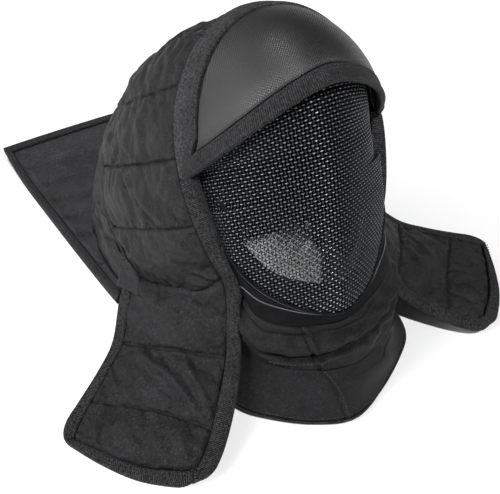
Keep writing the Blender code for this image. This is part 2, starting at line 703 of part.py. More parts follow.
def mesh_trim(look):
    loop, facing = cage_rim()
    along = unit(np.roll(loop, -1, axis=0) - np.roll(loop, 1, axis=0))
    way = np.cross(along, facing)
    way = unit(way * np.sign((way * (world(0.0, *FACE_MIDDLE) - loop)).sum(-1, keepdims=True)))
    for _ in range(3):
        way = unit(way + np.roll(way, 1, axis=0) + np.roll(way, -1, axis=0))
        facing = unit(facing + np.roll(facing, 1, axis=0) + np.roll(facing, -1, axis=0))
    under = MESH_WALL + GAP
    wide = (TRIM_WIDTH + TRIM_CHIN * chin_share(loop))[:, None]
    outer = np.stack([loop + way * 0.5 - facing * (under + 1.3), loop + way * wide - facing * (under + 4.8)], 1)
    return solid("mesh_trim", outer, outer - facing[:, None] * TRIM_THICK, look, closed=True)


# ---- bib ----
def bib_net():
    """Rows from the strip's lower edge to the hem, columns from the wearer's right to the left."""
    half = np.array(BIB_DROP, float)
    full = np.concatenate([mirrored(half[:0:-1]), half])
    hem = np.concatenate([np.array(BIB_HEM), np.full((len(BIB_HEM), 1), BIB_HEM_RISE)], 1)
    top, middle = full[:, 0], full[:, 1]
    between = top * 0.5 + middle * 0.5
    between[:, 2] -= 1.0
    low = middle * 0.5 + hem * 0.5
    low[:, 2] -= 2.5
    return np.array([top, between, middle, low, hem])


def bib_at(down, over):
    down, over = np.broadcast_arrays(np.asarray(down, float), np.asarray(over, float))
    net = bib_net()
    return np.einsum("...i,...j,ijk->...k", curve(np.eye(5), down), curve(np.eye(net.shape[1]), over), net)


def bib_grid(first, last, rows, columns):
    down, over = np.meshgrid(np.linspace(first, last, rows), np.linspace(0, 1, columns), indexing="ij")
    grid = bib_at(down, over)
    return grid, normals(grid, (0, 0, 20)), down


def jaw_line(over):
    """Line just below the mesh's rim along the jaw: over runs from 0 on the wearer's right to 1 on the left."""
    q = np.abs(2 * over - 1) * STRIP_REACH
    x = FACE_HALF * np.sin(q * np.pi / 2)
    up = CHIN_UP + JAW_RISE * (1 - np.cos(q * np.pi / 2)) ** JAW_POWER
    back = face_back(x, up) + CHEEK_BACK * np.clip((q - 0.7) / 0.3, 0, 1) ** 2
    rim = world(x * np.sign(2 * over - 1), back, up)
    middle = world(0.0, *FACE_MIDDLE)
    down = unit(np.gradient(rim, axis=0))
    out = unit(rim - world(0.0, -60.0, 120.0))
    down = unit(np.cross(down, out))
    down = down * np.sign((down * (rim - middle)).sum(-1, keepdims=True))
    return rim + down * STRIP_DROP - out * STRIP_SINK


def bib_strip(look):
    """Smooth strip between the mesh and the collar."""
    over = np.linspace(0, 1, 25)
    low = bib_at(np.zeros(25), over)
    high = jaw_line(over)
    grid = np.stack([low, (low + high) / 2, high], 1)
    grid[:, 0] += unit(grid[:, 1] - grid[:, 0]) * GAP * 3.6
    return wall("bib_band", grid, normals(grid, (0, 0, 80)), 0.0, STRIP_THICK, look)


def bib_collar(look):
    grid, normal, down = bib_grid(0.004, COLLAR_PART, 6, 21)
    bulge = COLLAR_BULGE * np.sin(np.pi * np.clip(down / COLLAR_PART, 0, 1)) ** 0.7
    bulge = bulge * (1 - 0.9 * np.abs(np.linspace(-1, 1, 21)) ** 5)
    outer = grid + normal * (bulge[..., None] + 0.5)
    return solid("bib_collar", outer, grid - normal * BIB_WALL, look)


def bib_skirt(look):
    grid, normal, _ = bib_grid(COLLAR_PART + 0.008, 0.945, 8, 21)
    return wall("bib_skirt", grid, normal, 0.0, BIB_WALL, look)


def bib_binding(look):
    grid, normal, _ = bib_grid(0.953, 1.0, 3, 21)
    outer, inner = grid + normal * 0.6, grid - normal * (BIB_WALL - 0.4)
    inner[-1, :, 2] = 0.0
    return solid("bib_binding", outer, inner, look)


# ---- small pieces ----
def tab(name, flip, look):
    rows = np.linspace(*TAB_ROWS, 4)
    place = np.repeat(rows[:, None], 3, 1)
    over = np.array([1 - TAB_WIDTH / side_width(row) * np.array([1.0, 0.45, -0.0]) for row in rows])
    grid, normal = side_at(place, over), side_normal(place, over)
    if flip:
        grid, normal = mirrored(grid), mirrored(normal)
    return wall(name, grid, normal, TAPE_RISE + 1.0 + TAB_THICK, TAB_THICK, look)


def strap_loop(look):
    at = np.array([[(-118.5, 166.0), (-112.0, 163.5)], [(-117.5, 158.0), (-111.0, 156.0)], [(-116.0, 150.5), (-109.5, 149.0)]])
    shift = np.array([-9.0, 0.0])
    low = np.concatenate([at + shift, np.full((3, 2, 1), NECK_THICK + 0.4)], -1)
    return solid("strap_loop", low + np.array([0.0, 0.0, 3.0]), low, look)


def build():
    for thing in list(bpy.data.objects):
        bpy.data.objects.remove(thing, do_unlink=True)
    steel = material("mesh_steel", (0.02, 0.02, 0.022), 0.35, 0.9)
    trim = material("trim_plastic", (0.015, 0.015, 0.016), 0.4)
    weave = material("brow_weave", (0.07, 0.07, 0.075), 0.7)
    quilt = material("quilted_cover", (0.045, 0.045, 0.05), 0.55)
    tape = material("ribbed_tape", (0.06, 0.06, 0.065), 0.8)
    cloth = material("bib_cloth", (0.03, 0.03, 0.033), 0.85)
    hook = material("hook_and_loop", (0.02, 0.02, 0.02), 0.95)
    mesh_cage(steel)
    mesh_trim(trim)
    bib_strip(trim)
    bib_collar(cloth)
    bib_skirt(cloth)
    bib_binding(tape)
    forehead_panel(weave)
    forehead_band(tape)
    crown_band(tape)
    for side, flip in (("left", False), ("right", True)):
        side_panel("side_panel_" + side, flip, quilt)
        flap_binding("flap_binding_" + side, flip, tape)
        edge_band("edge_band_" + side, flip, tape)
        tab("tab_" + side, flip, hook)
    back_panel(quilt)
    rear_flap(quilt)
    rear_flap_binding(tape)
    strap_loop(hook)


build()
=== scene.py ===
"""Looks of the fencing mask with its padded cover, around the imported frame.

Sizes are in millimetres until mesh_of.
"""

import bpy
import numpy as np
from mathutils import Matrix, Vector, noise

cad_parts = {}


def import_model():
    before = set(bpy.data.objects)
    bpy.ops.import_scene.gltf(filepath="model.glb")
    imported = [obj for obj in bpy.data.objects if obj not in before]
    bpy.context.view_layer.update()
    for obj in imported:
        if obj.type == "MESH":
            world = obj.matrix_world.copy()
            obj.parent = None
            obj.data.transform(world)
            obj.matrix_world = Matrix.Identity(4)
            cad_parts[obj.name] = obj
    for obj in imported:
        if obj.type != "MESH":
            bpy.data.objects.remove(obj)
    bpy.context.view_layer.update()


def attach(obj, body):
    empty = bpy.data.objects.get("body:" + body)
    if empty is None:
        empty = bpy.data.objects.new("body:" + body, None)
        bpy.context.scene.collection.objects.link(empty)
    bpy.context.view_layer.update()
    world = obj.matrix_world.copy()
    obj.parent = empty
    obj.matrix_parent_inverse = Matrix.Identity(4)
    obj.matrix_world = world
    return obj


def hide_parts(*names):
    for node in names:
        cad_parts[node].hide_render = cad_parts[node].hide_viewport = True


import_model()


# ---- driving sizes (mm, degrees) ----
RECLINE = 31.0          # lean of the wearer's vertical, backwards
CENTRE_Y = 130.75       # y of the middle of the whole object before it is centred
GAP = 0.5               # clearance from a piece to the seam it shares with its neighbour

HEAD_HALF_WIDTH = 120.0      # padded cover: half width, half length and half height of the head form
HEAD_HALF_LENGTH = 273.0
HEAD_HALF_HEIGHT = 141.0
HEAD_CENTRE = (77.3, 108.3)  # (back, up) of its centre
HEAD_PITCH = 24.6            # its long axis rises towards the brow

PANEL_THICK = 7.0       # quilted padding
CLOTH_THICK = 4.0       # woven brow panel
TAPE_THICK = 6.0        # ribbed tapes, wrapped over an edge
TAPE_RISE = 1.2         # how far a tape stands over the padding
HEM_TAPE = 9.0          # width of the tape round a flap

ARCH_FRONT = -109.5     # the tape over the crown lies between these two upright planes
ARCH_REAR = -87.0
PIPING_RISE = 2.0       # piped front edge of that tape: height and width
PIPING_WIDE = 5.0
# foot of that tape: back, up
ARCH_FOOT = [
    (-109.5, 195.0),
    (-103.9, 184.5),
    (-98.2, 174.0),
    (-92.6, 170.0),
    (-87.0, 168.5),
]

BRIM_HALF = 86.0        # lower edge of the brow panel, across and up
BRIM_MID = 208.0
BRIM_DROP = 38.5
BRIM_POWER = 1.7
BRIM_TAPE = 11.5        # width of the tape along it
BRIM_TOP = 86.5         # half length of that tape's upper edge
BROW_HALF = 82.0        # brow panel: half width along the tape, and turn about the head form at the top
BROW_TURN = 76.5

FACE_HALF = 74.0        # wire mesh: half width where the jaw ends
FACE_POWER = 1.55       # 1 would be a straight keel, 2 a round front
FACE_DEPTH = 45.0       # from the keel back to the rim at the jaw, and that much more higher up
FACE_DEEPER = 8.0
COVER_WALL = 8.5        # from the outer face of the cover to the wire mesh
CHIN_UP = 31.0
JAW_RISE = 80.0
JAW_POWER = 0.78
TEMPLE_UP = 140.0       # the mesh's rim runs straight up to here, then back round the ear
TEMPLE_BACK = -86.0
CHEEK_BACK = 13.0       # how far the mesh's sides are carried straight back beside the jaw
TEMPLE_HALF = 77.0
FACE_PART = 0.72        # share of the mesh's rows, up to the turn, that ends at the temples
PIVOT = (-20.0, 170.0)  # (back, up) about which the mesh turns over the crown
EAR_RADIUS = 32.0
CROWN_TURN = 112.0      # how far round that pivot the mesh goes
FACE_MIDDLE = (-150.0, 150.0)   # (back, up)
MESH_INSIDE = (0.0, 60.0, 120.0)    # a point inside the mesh: x, y, z
TRIM_WIDTH = 14.0
TRIM_CHIN = 13.0        # and that much wider at the chin

# middle line of the face: up, back
RIDGE = [
    (20.0, -112.0),
    (31.0, -116.0),
    (46.0, -124.0),
    (70.0, -131.5),
    (110.0, -144.0),
    (156.0, -158.0),
    (200.0, -166.0),
    (240.0, -166.0),
]
# side panel on the head form. Columns: back and up at the front edge and at the rear edge, bow of the row
SIDE_HOOD = [
    (-87.0, 264.0, 46.0, 252.0, 8.0),
    (-87.0, 250.0, 62.0, 240.0, 4.0),
    (-87.0, 234.0, 68.0, 229.0, 0.0),
    (-87.0, 209.0, 66.0, 206.0, 0.0),
    (-87.0, 184.0, 56.0, 184.0, 0.0),
    (-87.0, 157.0, 58.0, 157.0, 0.0),
    (-85.0, 131.0, 50.0, 131.0, 0.0),
    (-80.0, 105.0, 44.0, 106.0, 0.0),
]
# side flap. Columns: x, y, z at the front seam, a quarter, half and three quarters back, and at the rear edge
SIDE_FLAP = [
    ((76, -20, 107), (90, -8, 92), (101, 17, 79), (112, 47, 66), (124, 75, 62)),
    ((77, -27, 88), (91, -13, 78), (103, 8, 69), (118, 34, 59), (131, 66, 54)),
    ((81, -33, 70), (94, -18, 66), (106, -2, 60), (125, 22, 52), (140, 57, 46)),
    ((89, -45, 46), (104, -33, 46), (119, -18, 45), (139, 6, 38), (159, 31, 31)),
    ((105, -63, 31), (121, -50, 33), (135, -33, 33), (160, -8, 29), (180, 13, 25)),
    ((125, -85, 21), (138, -68, 23), (154, -50, 24), (178, -27, 23), (204, -4, 20)),
    ((137, -96, 16), (153, -83, 17), (169, -66, 17), (194, -43, 18), (218, -14, 18)),
    ((149, -105, 12), (165, -94, 12), (184, -79, 12), (206, -53, 14), (226, -23, 16.5)),
    ((157, -114, 9), (169, -107, 9), (191, -88, 10), (211, -61, 12), (230, -27, 16)),
]
# free edge of the tape beside the face and down the flap, from the fifth row on: x, y, z
EDGE_FREE = [
    (87.5, 7.0, 203.0),
    (86.5, -2.0, 188.0),
    (82.5, -15.0, 161.0),
    (78.0, -26.0, 136.0),
    (73.5, -34.0, 109.0),
    (74.0, -40.0, 89.0),
    (76.0, -46.0, 69.0),
    (84.5, -60.0, 41.0),
    (97.0, -76.0, 29.0),
    (115.0, -95.0, 19.0),
    (129.0, -107.0, 14.0),
    (143.0, -116.0, 10.0),
    (151.0, -119.0, 9.0),
]
# rows where that tape begins, under the crown tape's foot: seam, middle, free edge
EDGE_START = (4.61, 4.56, 4.53)
EDGE_FIRST = 4.42       # row from which it is drawn
EDGE_RISEN = 4.66       # row from which it stands at its full height
EDGE_TURN = 6.5         # how much further it turns down to the mesh along the face
EDGE_TURN_ROW = 8.9     # row at which that ends
EDGE_THIN = 3.0         # its thickness at the free edge
SLIT_ROW = 4            # the side panel parts from the rear panel here
# lower corners of the flap: the corner, a point along each of its two edges, and the radius
FLAP_CORNERS = [
    ((230.0, -27.0, 16.0), (211.0, -61.0, 12.0), (218.0, -14.0, 18.0), 10.0),
    ((151.0, -119.0, 9.0), (115.0, -95.0, 19.0), (191.0, -88.0, 10.0), 20.0),
]

# rear panel: back at the middle of each row of the side panel's rear edge, from the top seam's end on
BACK_MIDDLE = [-87.0, -45.0, -3.0, 38.0, 78.0, 108.0, 134.0, 162.0, 188.0, 210.0, 228.0, 240.0, 247.0]
# how far it stands back from the side panel's rear edge, down the slit
BACK_PART = [0, 0, 0, 0, 0, 0.5, 1.5, 4.0]
BACK_FOOT = [(29.0, 80.0), (40.0, 36.5)]     # (back, up) of its side edge below that
NECK_FRONT = (130.0, 98.0)   # neck panel: x, y of its front corner
NECK_REAR = (152.5, 385.0)   # x, y of its rear corner
NECK_TURN = 0.45             # place of that corner along its edge, from 0 at the middle to 1
NECK_THICK = 8.0
SEAM_GAP = 0.3               # from the neck panel up to the rear panel's lower rim, where the two are sewn
NECK_LIFT = 16.0             # rise of the rear hem off the surface
NECK_FLAT = 306.0            # y up to which it lies flat
NECK_BOW = 4.0               # bow of the rear hem
NECK_TUCK = 5.0              # how far the neck panel reaches in under the rear panel's rim

# bib, from the middle to the side. Columns: x, y, z of the strip's lower edge and of a line halfway down
BIB_DROP = [
    ((0, -85, 76), (0, -113, 32)),
    ((27, -80, 79), (30, -104, 32)),
    ((51, -71, 83), (54, -86, 33)),
    ((67, -56, 90), (70.5, -63, 35)),
    ((65, -27, 98), (70, -31, 37)),
]
# hem on the surface from the wearer's right to the left: x, y
BIB_HEM = [
    (-98.0, -36.0),
    (-92.0, -68.0),
    (-75.0, -90.0),
    (-47.0, -113.0),
    (-14.0, -127.0),
    (22.0, -116.0),
    (60.0, -96.0),
    (84.0, -76.0),
    (98.0, -38.0),
]
BIB_HEM_RISE = 3.6
BIB_WALL = 3.6
STRIP_THICK = 3.0
STRIP_REACH = 0.9       # share of the jaw that the strip under the mesh covers
STRIP_DROP = 1.7        # from the mesh's rim down to the strip's upper edge
STRIP_SINK = 1.2        # and in from the mesh
COLLAR_PART = 0.34      # share of the bib's height taken by the padded collar
COLLAR_BULGE = 6.0
COLLAR_TUCK = 4.0       # how far its top edge runs up behind the strip

TAB_ROWS = (7.6, 9.1)   # hook-and-loop tab: rows of the side panel that it spans
TAB_WIDTH = 19.0
TAB_THICK = 2.5

LEAN = np.radians(RECLINE)
PITCH = np.radians(HEAD_PITCH)


# ---- frames and the head form ----
def world(across, back, up):
    """Wearer's frame to the object's own."""
    y = np.asarray(up) * np.sin(LEAN) + np.asarray(back) * np.cos(LEAN)
    z = np.asarray(up) * np.cos(LEAN) - np.asarray(back) * np.sin(LEAN)
    return np.stack(np.broadcast_arrays(np.asarray(across, float), y, z), -1)


def wearer(point):
    """The object's own frame to the wearer's."""
    x, y, z = np.moveaxis(np.asarray(point, float), -1, 0)
    return x, y * np.cos(LEAN) - z * np.sin(LEAN), y * np.sin(LEAN) + z * np.cos(LEAN)


def head_axes(back, up):
    dr, ds = back - HEAD_CENTRE[0], up - HEAD_CENTRE[1]
    return -dr * np.cos(PITCH) + ds * np.sin(PITCH), dr * np.sin(PITCH) + ds * np.cos(PITCH)


def head_half(back, up, inset=0.0):
    """Half width of the head form at a place in the middle plane."""
    along, rise = head_axes(back, up)
    left = 1 - (along / (HEAD_HALF_LENGTH - inset)) ** 2 - (rise / (HEAD_HALF_HEIGHT - inset)) ** 2
    return (HEAD_HALF_WIDTH - inset) * np.sqrt(np.maximum(left, 0.0))


def head_normal(point):
    """Outward unit normal of the head form."""
    x, back, up = wearer(point)
    along, rise = head_axes(back, up)
    a, b = along / HEAD_HALF_LENGTH**2, rise / HEAD_HALF_HEIGHT**2
    cos, sin = np.cos(PITCH), np.sin(PITCH)
    normal = world(x / HEAD_HALF_WIDTH**2, -a * cos + b * sin, a * sin + b * cos)
    return normal / np.linalg.norm(normal, axis=-1, keepdims=True)


def on_head(across, back, up):
    """The nearby point of the head form, on the ray from its centre."""
    along, rise = head_axes(back, up)
    size = (across / HEAD_HALF_WIDTH) ** 2 + (along / HEAD_HALF_LENGTH) ** 2 + (rise / HEAD_HALF_HEIGHT) ** 2
    size = np.sqrt(size)
    r, s = HEAD_CENTRE
    return world(across / size, r + (back - r) / size, s + (up - s) / size)


def head_ring(back):
    """Centre height, half height and half width of the head form's upright section."""
    dr = back - HEAD_CENTRE[0]
    ll, hh = HEAD_HALF_LENGTH**2, HEAD_HALF_HEIGHT**2
    a2 = np.sin(PITCH) ** 2 / ll + np.cos(PITCH) ** 2 / hh
    b1 = dr * np.sin(PITCH) * np.cos(PITCH) * (1 / hh - 1 / ll)
    c0 = dr**2 * (np.cos(PITCH) ** 2 / ll + np.sin(PITCH) ** 2 / hh)
    left = np.maximum(1 - (c0 - b1**2 / a2), 1e-6)
    return HEAD_CENTRE[1] - b1 / a2, np.sqrt(left / a2), HEAD_HALF_WIDTH * np.sqrt(left)


def head_at(back, turn):
    """Point of the head form: turn is 0 at the crown and +-90 degrees at the widest."""
    middle, half_up, half_across = head_ring(back)
    return world(half_across * np.sin(turn), back, middle + half_up * np.cos(turn))


def head_turn(back, up):
    """Turn, on the wearer's left, of the head form's point at this place."""
    middle, half_up, _ = head_ring(back)
    return np.arccos(np.clip((up - middle) / half_up, -1, 1))


def head_front(across, up):
    """How far back the head form's front lies at this place."""
    c, s = np.cos(PITCH), np.sin(PITCH)
    ds = up - HEAD_CENTRE[1]
    ll, hh = HEAD_HALF_LENGTH**2, HEAD_HALF_HEIGHT**2
    a2 = c * c / ll + s * s / hh
    b1 = ds * s * c * (1 / hh - 1 / ll)
    c0 = ds * ds * (s * s / ll + c * c / hh) + (across / HEAD_HALF_WIDTH) ** 2 - 1
    return HEAD_CENTRE[0] + (-b1 - np.sqrt(np.maximum(b1 * b1 - a2 * c0, 0))) / a2


# ---- curves, grids and walls ----
def curve(rows, at):
    """Smooth curve through rows, evenly spaced in the parameter; at runs from 0 to 1."""
    rows = np.asarray(rows, float)
    last = len(rows) - 1
    place = np.clip(np.asarray(at, float), 0, 1) * last
    i = np.minimum(place.astype(int), last - 1)
    f = (place - i).reshape(place.shape + (1,) * (rows.ndim - 1))
    p1, p2 = rows[i], rows[i + 1]
    p0 = np.where((i > 0).reshape(f.shape), rows[np.maximum(i - 1, 0)], 2 * p1 - p2)
    p3 = np.where((i < last - 1).reshape(f.shape), rows[np.minimum(i + 2, last)], 2 * p2 - p1)
    m1, m2 = (p2 - p0) / 2, (p3 - p1) / 2
    f2, f3 = f * f, f * f * f
    return (2 * f3 - 3 * f2 + 1) * p1 + (f3 - 2 * f2 + f) * m1 + (3 * f2 - 2 * f3) * p2 + (f3 - f2) * m2


def normals(grid, away_from=None):
    """Unit normals of a grid of points, by differences, turned away from a point."""
    normal = np.cross(np.gradient(grid, axis=0), np.gradient(grid, axis=1))
    normal = normal / np.maximum(np.linalg.norm(normal, axis=-1, keepdims=True), 1e-9)
    if away_from is not None and (normal * (grid - np.array(away_from, float))).sum() < 0:
        normal = -normal
    return normal


def unit(vector):
    return vector / np.maximum(np.linalg.norm(vector, axis=-1, keepdims=True), 1e-9)


def mirrored(grid):
    return grid * np.array([-1.0, 1.0, 1.0])


def eased(count):
    """Shares from 0 to 1, closer together at both ends."""
    return 0.5 - 0.5 * np.cos(np.linspace(0, np.pi, count))


def bell(value, middle, wide):
    return np.exp(-(((value - middle) / wide) ** 2))


def run_of(points):
    """Distance along a line of points, from its first."""
    return np.concatenate([[0], np.cumsum(np.linalg.norm(np.diff(points, axis=0), axis=1))])


# ---- side panels with their flaps ----
def side_net():
    """Points of the wearer's left side panel: rows from the crown to the hem, columns from front to rear."""
    part = np.linspace(0, 1, 5)
    rows = []
    for front, front_up, rear, rear_up, bow in SIDE_HOOD:
        back = front + (rear - front) * part
        up = front_up + (rear_up - front_up) * part + bow * 4 * part * (1 - part)
        rows.append(world(head_half(back, up), back, up))
    rows.extend(np.array(row, float) for row in SIDE_FLAP)
    return np.array(rows)


NET = side_net()
LAST_ROW = len(NET) - 1


def side_at(row, across):
    """Point of that surface. row counts the net's rows from 0, across is 0 at the front and 1 at the rear."""
    row, across = np.broadcast_arrays(np.asarray(row, float), np.asarray(across, float))
    down = curve(np.eye(LAST_ROW + 1), row / LAST_ROW)
    over = curve(np.eye(5), across)
    return np.einsum("...i,...j,ijk->...k", down, over, NET)


def side_normal(row, across):
    """Its outward unit normal, by differences."""
    row, across = np.broadcast_arrays(np.asarray(row, float), np.asarray(across, float))
    step = 0.02
    down = side_at(np.minimum(row + step, LAST_ROW), across) - side_at(np.maximum(row - step, 0), across)
    over = side_at(row, np.minimum(across + step, 1)) - side_at(row, np.maximum(across - step, 0))
    flap = np.clip(row - len(SIDE_HOOD) + 2, 0, 1)[..., None]
    return unit(unit(np.cross(down, over)) * flap + head_normal(side_at(row, across)) * (1 - flap))


def rounded(points):
    """The flap's points with its two lower corners rounded: each corner's square becomes a quarter disc."""
    points = np.array(points, float)
    for corner, along, across, size in FLAP_CORNERS:
        corner = np.array(corner, float)
        axes = np.stack([unit(np.array(along, float) - corner), unit(np.array(across, float) - corner)], 1)
        centre = corner + axes.sum(1) * size
        place = -(points - centre) @ np.linalg.pinv(axes).T / size
        inside = (place > 0).all(-1) & (np.linalg.norm(points - corner, axis=-1) < 2 * size)
        most = place.max(-1)
        shrink = np.where(inside, most / np.maximum(np.linalg.norm(place, axis=-1), 1e-9), 1.0)
        moved = place * (shrink - 1)[..., None] * size
        points = points - moved @ axes.T
    return points


def side_width(row):
    over = np.linspace(0, 1, 13)
    return np.linalg.norm(np.diff(side_at(row, over), axis=0), axis=1).sum()


def edge_lines(rows):
    """Seam, middle and free edge of the tape beside the face, and the way its seam faces."""
    start = np.array(EDGE_START)
    near = np.clip(1 - (rows - 4.6) / 0.4, 0, 1)
    places = rows[:, None] + (start - 4.6) * near[:, None]
    seam = side_at(places[:, 0], np.zeros(len(rows)))
    free = curve(EDGE_FREE, (places[:, 2] - 4) / (LAST_ROW - 4))
    inner, outer = (
        side_at(places[:, 1], np.zeros(len(rows))),
        curve(EDGE_FREE, (places[:, 1] - 4) / (LAST_ROW - 4)),
    )
    grid = np.stack([seam + unit(free - seam) * GAP, (inner + outer) / 2, free], 1)
    return grid, side_normal(places[:, 0], np.zeros(len(rows)))


# ---- brow panel and the tapes on the head form ----
def brim(across, over=0.0):
    """Lower edge of the brow panel, moved up by over."""
    up = BRIM_MID - BRIM_DROP * (np.abs(across) / BRIM_HALF) ** BRIM_POWER + over
    return on_head(across, head_front(across, up), up)


# ---- rear panel and neck panel ----
def back_edge():
    """Side edge of the rear panel, (back, up): the side panel's top and rear edges, then the foot."""
    part = np.linspace(0, 1, 5)[:-1]
    front, front_up, rear, rear_up, bow = SIDE_HOOD[0]
    rows = [
        (front + (rear - front) * p, front_up + (rear_up - front_up) * p + bow * 4 * p * (1 - p))
        for p in part
    ]
    rows.extend((row[2] + part, row[3]) for row, part in zip(SIDE_HOOD, BACK_PART))
    rows.extend(BACK_FOOT)
    return np.array(rows)


def floor_back(turn, height):
    """How far back the head form is this high off the surface, on this turn, at the rear."""
    low, high = 60.0 * np.ones_like(turn), 330.0 * np.ones_like(turn)
    for _ in range(50):
        middle = (low + high) / 2
        over = head_at(middle, turn)[..., 2] > height
        low, high = np.where(over, middle, low), np.where(over, high, middle)
    return low


def back_grid(rows, columns):
    edge = back_edge()
    middle = np.interp(np.linspace(0, 1, len(edge)), np.linspace(0, 1, len(BACK_MIDDLE)), BACK_MIDDLE)
    part = np.linspace(0, 1, rows)
    side = curve(edge, part)
    turn_end = head_turn(side[:, 0], side[:, 1])
    away = np.linspace(-1, 1, columns)
    foot_turn = turn_end[-1] * away
    foot = floor_back(np.abs(foot_turn), NECK_THICK + SEAM_GAP)
    line = curve(middle, part)
    grid = []
    for i, share in enumerate(part):
        plain = line[i] + (side[i, 0] - line[i]) * np.abs(away) ** 2
        blend = np.clip((share - 0.35) / 0.65, 0, 1) ** 2
        last = foot - foot[columns // 2] + line[i]
        last = line[i] + (last - line[i]) * (side[i, 0] - line[i]) / (foot[-1] - foot[columns // 2])
        back = plain * (1 - blend) + last * blend
        grid.append(head_at(back, turn_end[i] * away))
    return np.array(grid)


def notch(part, tuck):
    """Edge of the neck panel round the rear panel's foot: part runs from -1 to 1."""
    foot = BACK_FOOT[-1]
    turn = head_turn(foot[0], foot[1]) * part
    rim = head_at(floor_back(np.abs(turn), NECK_THICK + SEAM_GAP), turn)
    out = head_normal(rim) * np.array([1.0, 1.0, 0.0])
    return rim - unit(out) * tuck


def neck_line(part, inset):
    """Outer edge of the neck panel, moved in by inset. part runs from -1 to 1."""
    turn = NECK_TURN
    half, rear = NECK_REAR
    away = np.abs(part)
    down = np.clip((1 - away) / (1 - turn), 0, 1)
    x = NECK_FRONT[0] + (half - NECK_FRONT[0]) * down**0.85 - inset
    y = NECK_FRONT[1] + (rear - NECK_FRONT[1] - inset) * down
    inside = away < turn
    x = np.where(inside, (half - inset) * away / turn, x)
    y = np.where(inside, rear - inset + NECK_BOW * (1 - (away / turn) ** 2), y)
    return np.stack([x * np.sign(part), y], -1)


def neck_parts(side, rear):
    """Places along that edge: this many down each side, and along the rear."""
    down = np.linspace(NECK_TURN, 1, side)
    return np.concatenate([-down[::-1], np.linspace(-NECK_TURN, NECK_TURN, rear)[1:-1], down])


def neck_rise(y):
    return NECK_LIFT * np.clip((y - NECK_FLAT) / (NECK_REAR[1] - NECK_FLAT), 0, 2) ** 2


# ---- wire mesh and its trim ----
def ridge(up):
    table = np.array(RIDGE)
    return np.interp(up, table[:, 0], table[:, 1])


def face_depth(up):
    return FACE_DEPTH + FACE_DEEPER * np.clip((up - 110) / 50, 0, 1)


def face_back(across, up):
    """How far back the mesh lies in front of the face."""
    return ridge(up) + face_depth(up) * (np.abs(across) / (FACE_HALF + 2)) ** FACE_POWER


def jaw_up(q):
    """Height of the mesh's lower edge. q is 0 at the chin and 1 at the jaw's end."""
    return CHIN_UP + JAW_RISE * (1 - np.cos(q * np.pi / 2)) ** JAW_POWER


def cheek_back(x, up, q):
    """face_back, with the sides carried straight back beside the jaw."""
    return face_back(x, up) + CHEEK_BACK * np.clip((q - 0.7) / 0.3, 0, 1) ** 2


def section(start, heading, depth):
    """Half width of the mesh this far in from its middle line, along a heading in the middle plane."""
    back, up = start[0] + depth * heading[0], start[1] + depth * heading[1]
    inside = np.maximum(head_half(back, up, COVER_WALL), 1e-6)
    front = (FACE_HALF + 2) * (np.maximum(depth, 0) / face_depth(start[1])) ** (1 / FACE_POWER)
    soft = (np.maximum(front, 1e-6) ** -8 + inside**-8) ** (-1 / 8)
    blend = np.clip(-heading[1] / 0.6, 0, 1)
    return np.where(depth <= 0, 0, soft * (1 - blend) + inside * blend)


def crown_reach(turn):
    """Distance from the pivot to the mesh's middle line on this turn."""
    heading = np.array([np.cos(turn), -np.sin(turn)])
    near, far = 40.0, 260.0
    for _ in range(40):
        middle = (near + far) / 2
        back, up = PIVOT[0] - heading[0] * middle, PIVOT[1] - heading[1] * middle
        along, rise = head_axes(back, up)
        size = (along / (HEAD_HALF_LENGTH - COVER_WALL)) ** 2 + (rise / (HEAD_HALF_HEIGHT - COVER_WALL)) ** 2
        if size < 1 and back > ridge(up):
            near = middle
        else:
            far = middle
    return near


def cage_line(place, steps):
    """One row of the mesh from its middle line to its left rim.

    place is 0 at the chin, 1 where the turn starts and 2 at the rear.
    """
    q = np.linspace(0, 1, steps)
    if place < 1:
        low = np.clip(place / FACE_PART, 0, 1)
        if place <= FACE_PART:
            x = (FACE_HALF * (1 - low) + TEMPLE_HALF * low) * np.sin(q * np.pi / 2)
            jaw = jaw_up(q)
            up = jaw * (1 - low) + TEMPLE_UP * low
            return x, cheek_back(x, up, q), up
        share = (place - FACE_PART) / (1 - FACE_PART)
        up = TEMPLE_UP + (PIVOT[1] - TEMPLE_UP) * share
        end = TEMPLE_BACK + (PIVOT[0] - EAR_RADIUS - TEMPLE_BACK) * share
        depth = (end - ridge(up)) * q**1.4
        half = section((ridge(up), up), (1.0, 0.0), depth)
        ease = share * share * (3 - 2 * share)
        half = np.minimum(half, TEMPLE_HALF) * (1 - ease) + half * ease
        return half, ridge(up) + depth, np.full(steps, up)
    turn = np.radians(CROWN_TURN) * (place - 1)
    heading = np.array([np.cos(turn), -np.sin(turn)])
    reach = crown_reach(turn)
    start = (PIVOT[0] - heading[0] * reach, PIVOT[1] - heading[1] * reach)
    depth = (reach - EAR_RADIUS) * q**1.6
    return section(start, heading, depth), start[0] + depth * heading[0], start[1] + depth * heading[1]


def cage_grid(places, steps):
    lines = []
    for place in places:
        x, back, up = cage_line(place, steps)
        lines.append(np.concatenate([world(-x[:0:-1], back[:0:-1], up[:0:-1]), world(x, back, up)]))
    return np.array(lines)


def chin_share(loop):
    """1 at the chin, falling to 0 up the jaw."""
    _, back, up = wearer(loop)
    return np.clip(1 - (up - CHIN_UP) / (0.6 * JAW_RISE), 0, 1) ** 1.5 * (back < PIVOT[0])


# ---- bib ----
def bib_net():
    """Rows from the strip's lower edge to the hem, columns from the wearer's right to the left."""
    half = np.array(BIB_DROP, float)
    full = np.concatenate([mirrored(half[:0:-1]), half])
    hem = np.concatenate([np.array(BIB_HEM), np.full((len(BIB_HEM), 1), BIB_HEM_RISE)], 1)
    top, middle = full[:, 0], full[:, 1]
    between = top * 0.5 + middle * 0.5
    between[:, 2] -= 1.0
    low = middle * 0.5 + hem * 0.5
    low[:, 2] -= 2.5
    return np.array([top, between, middle, low, hem])


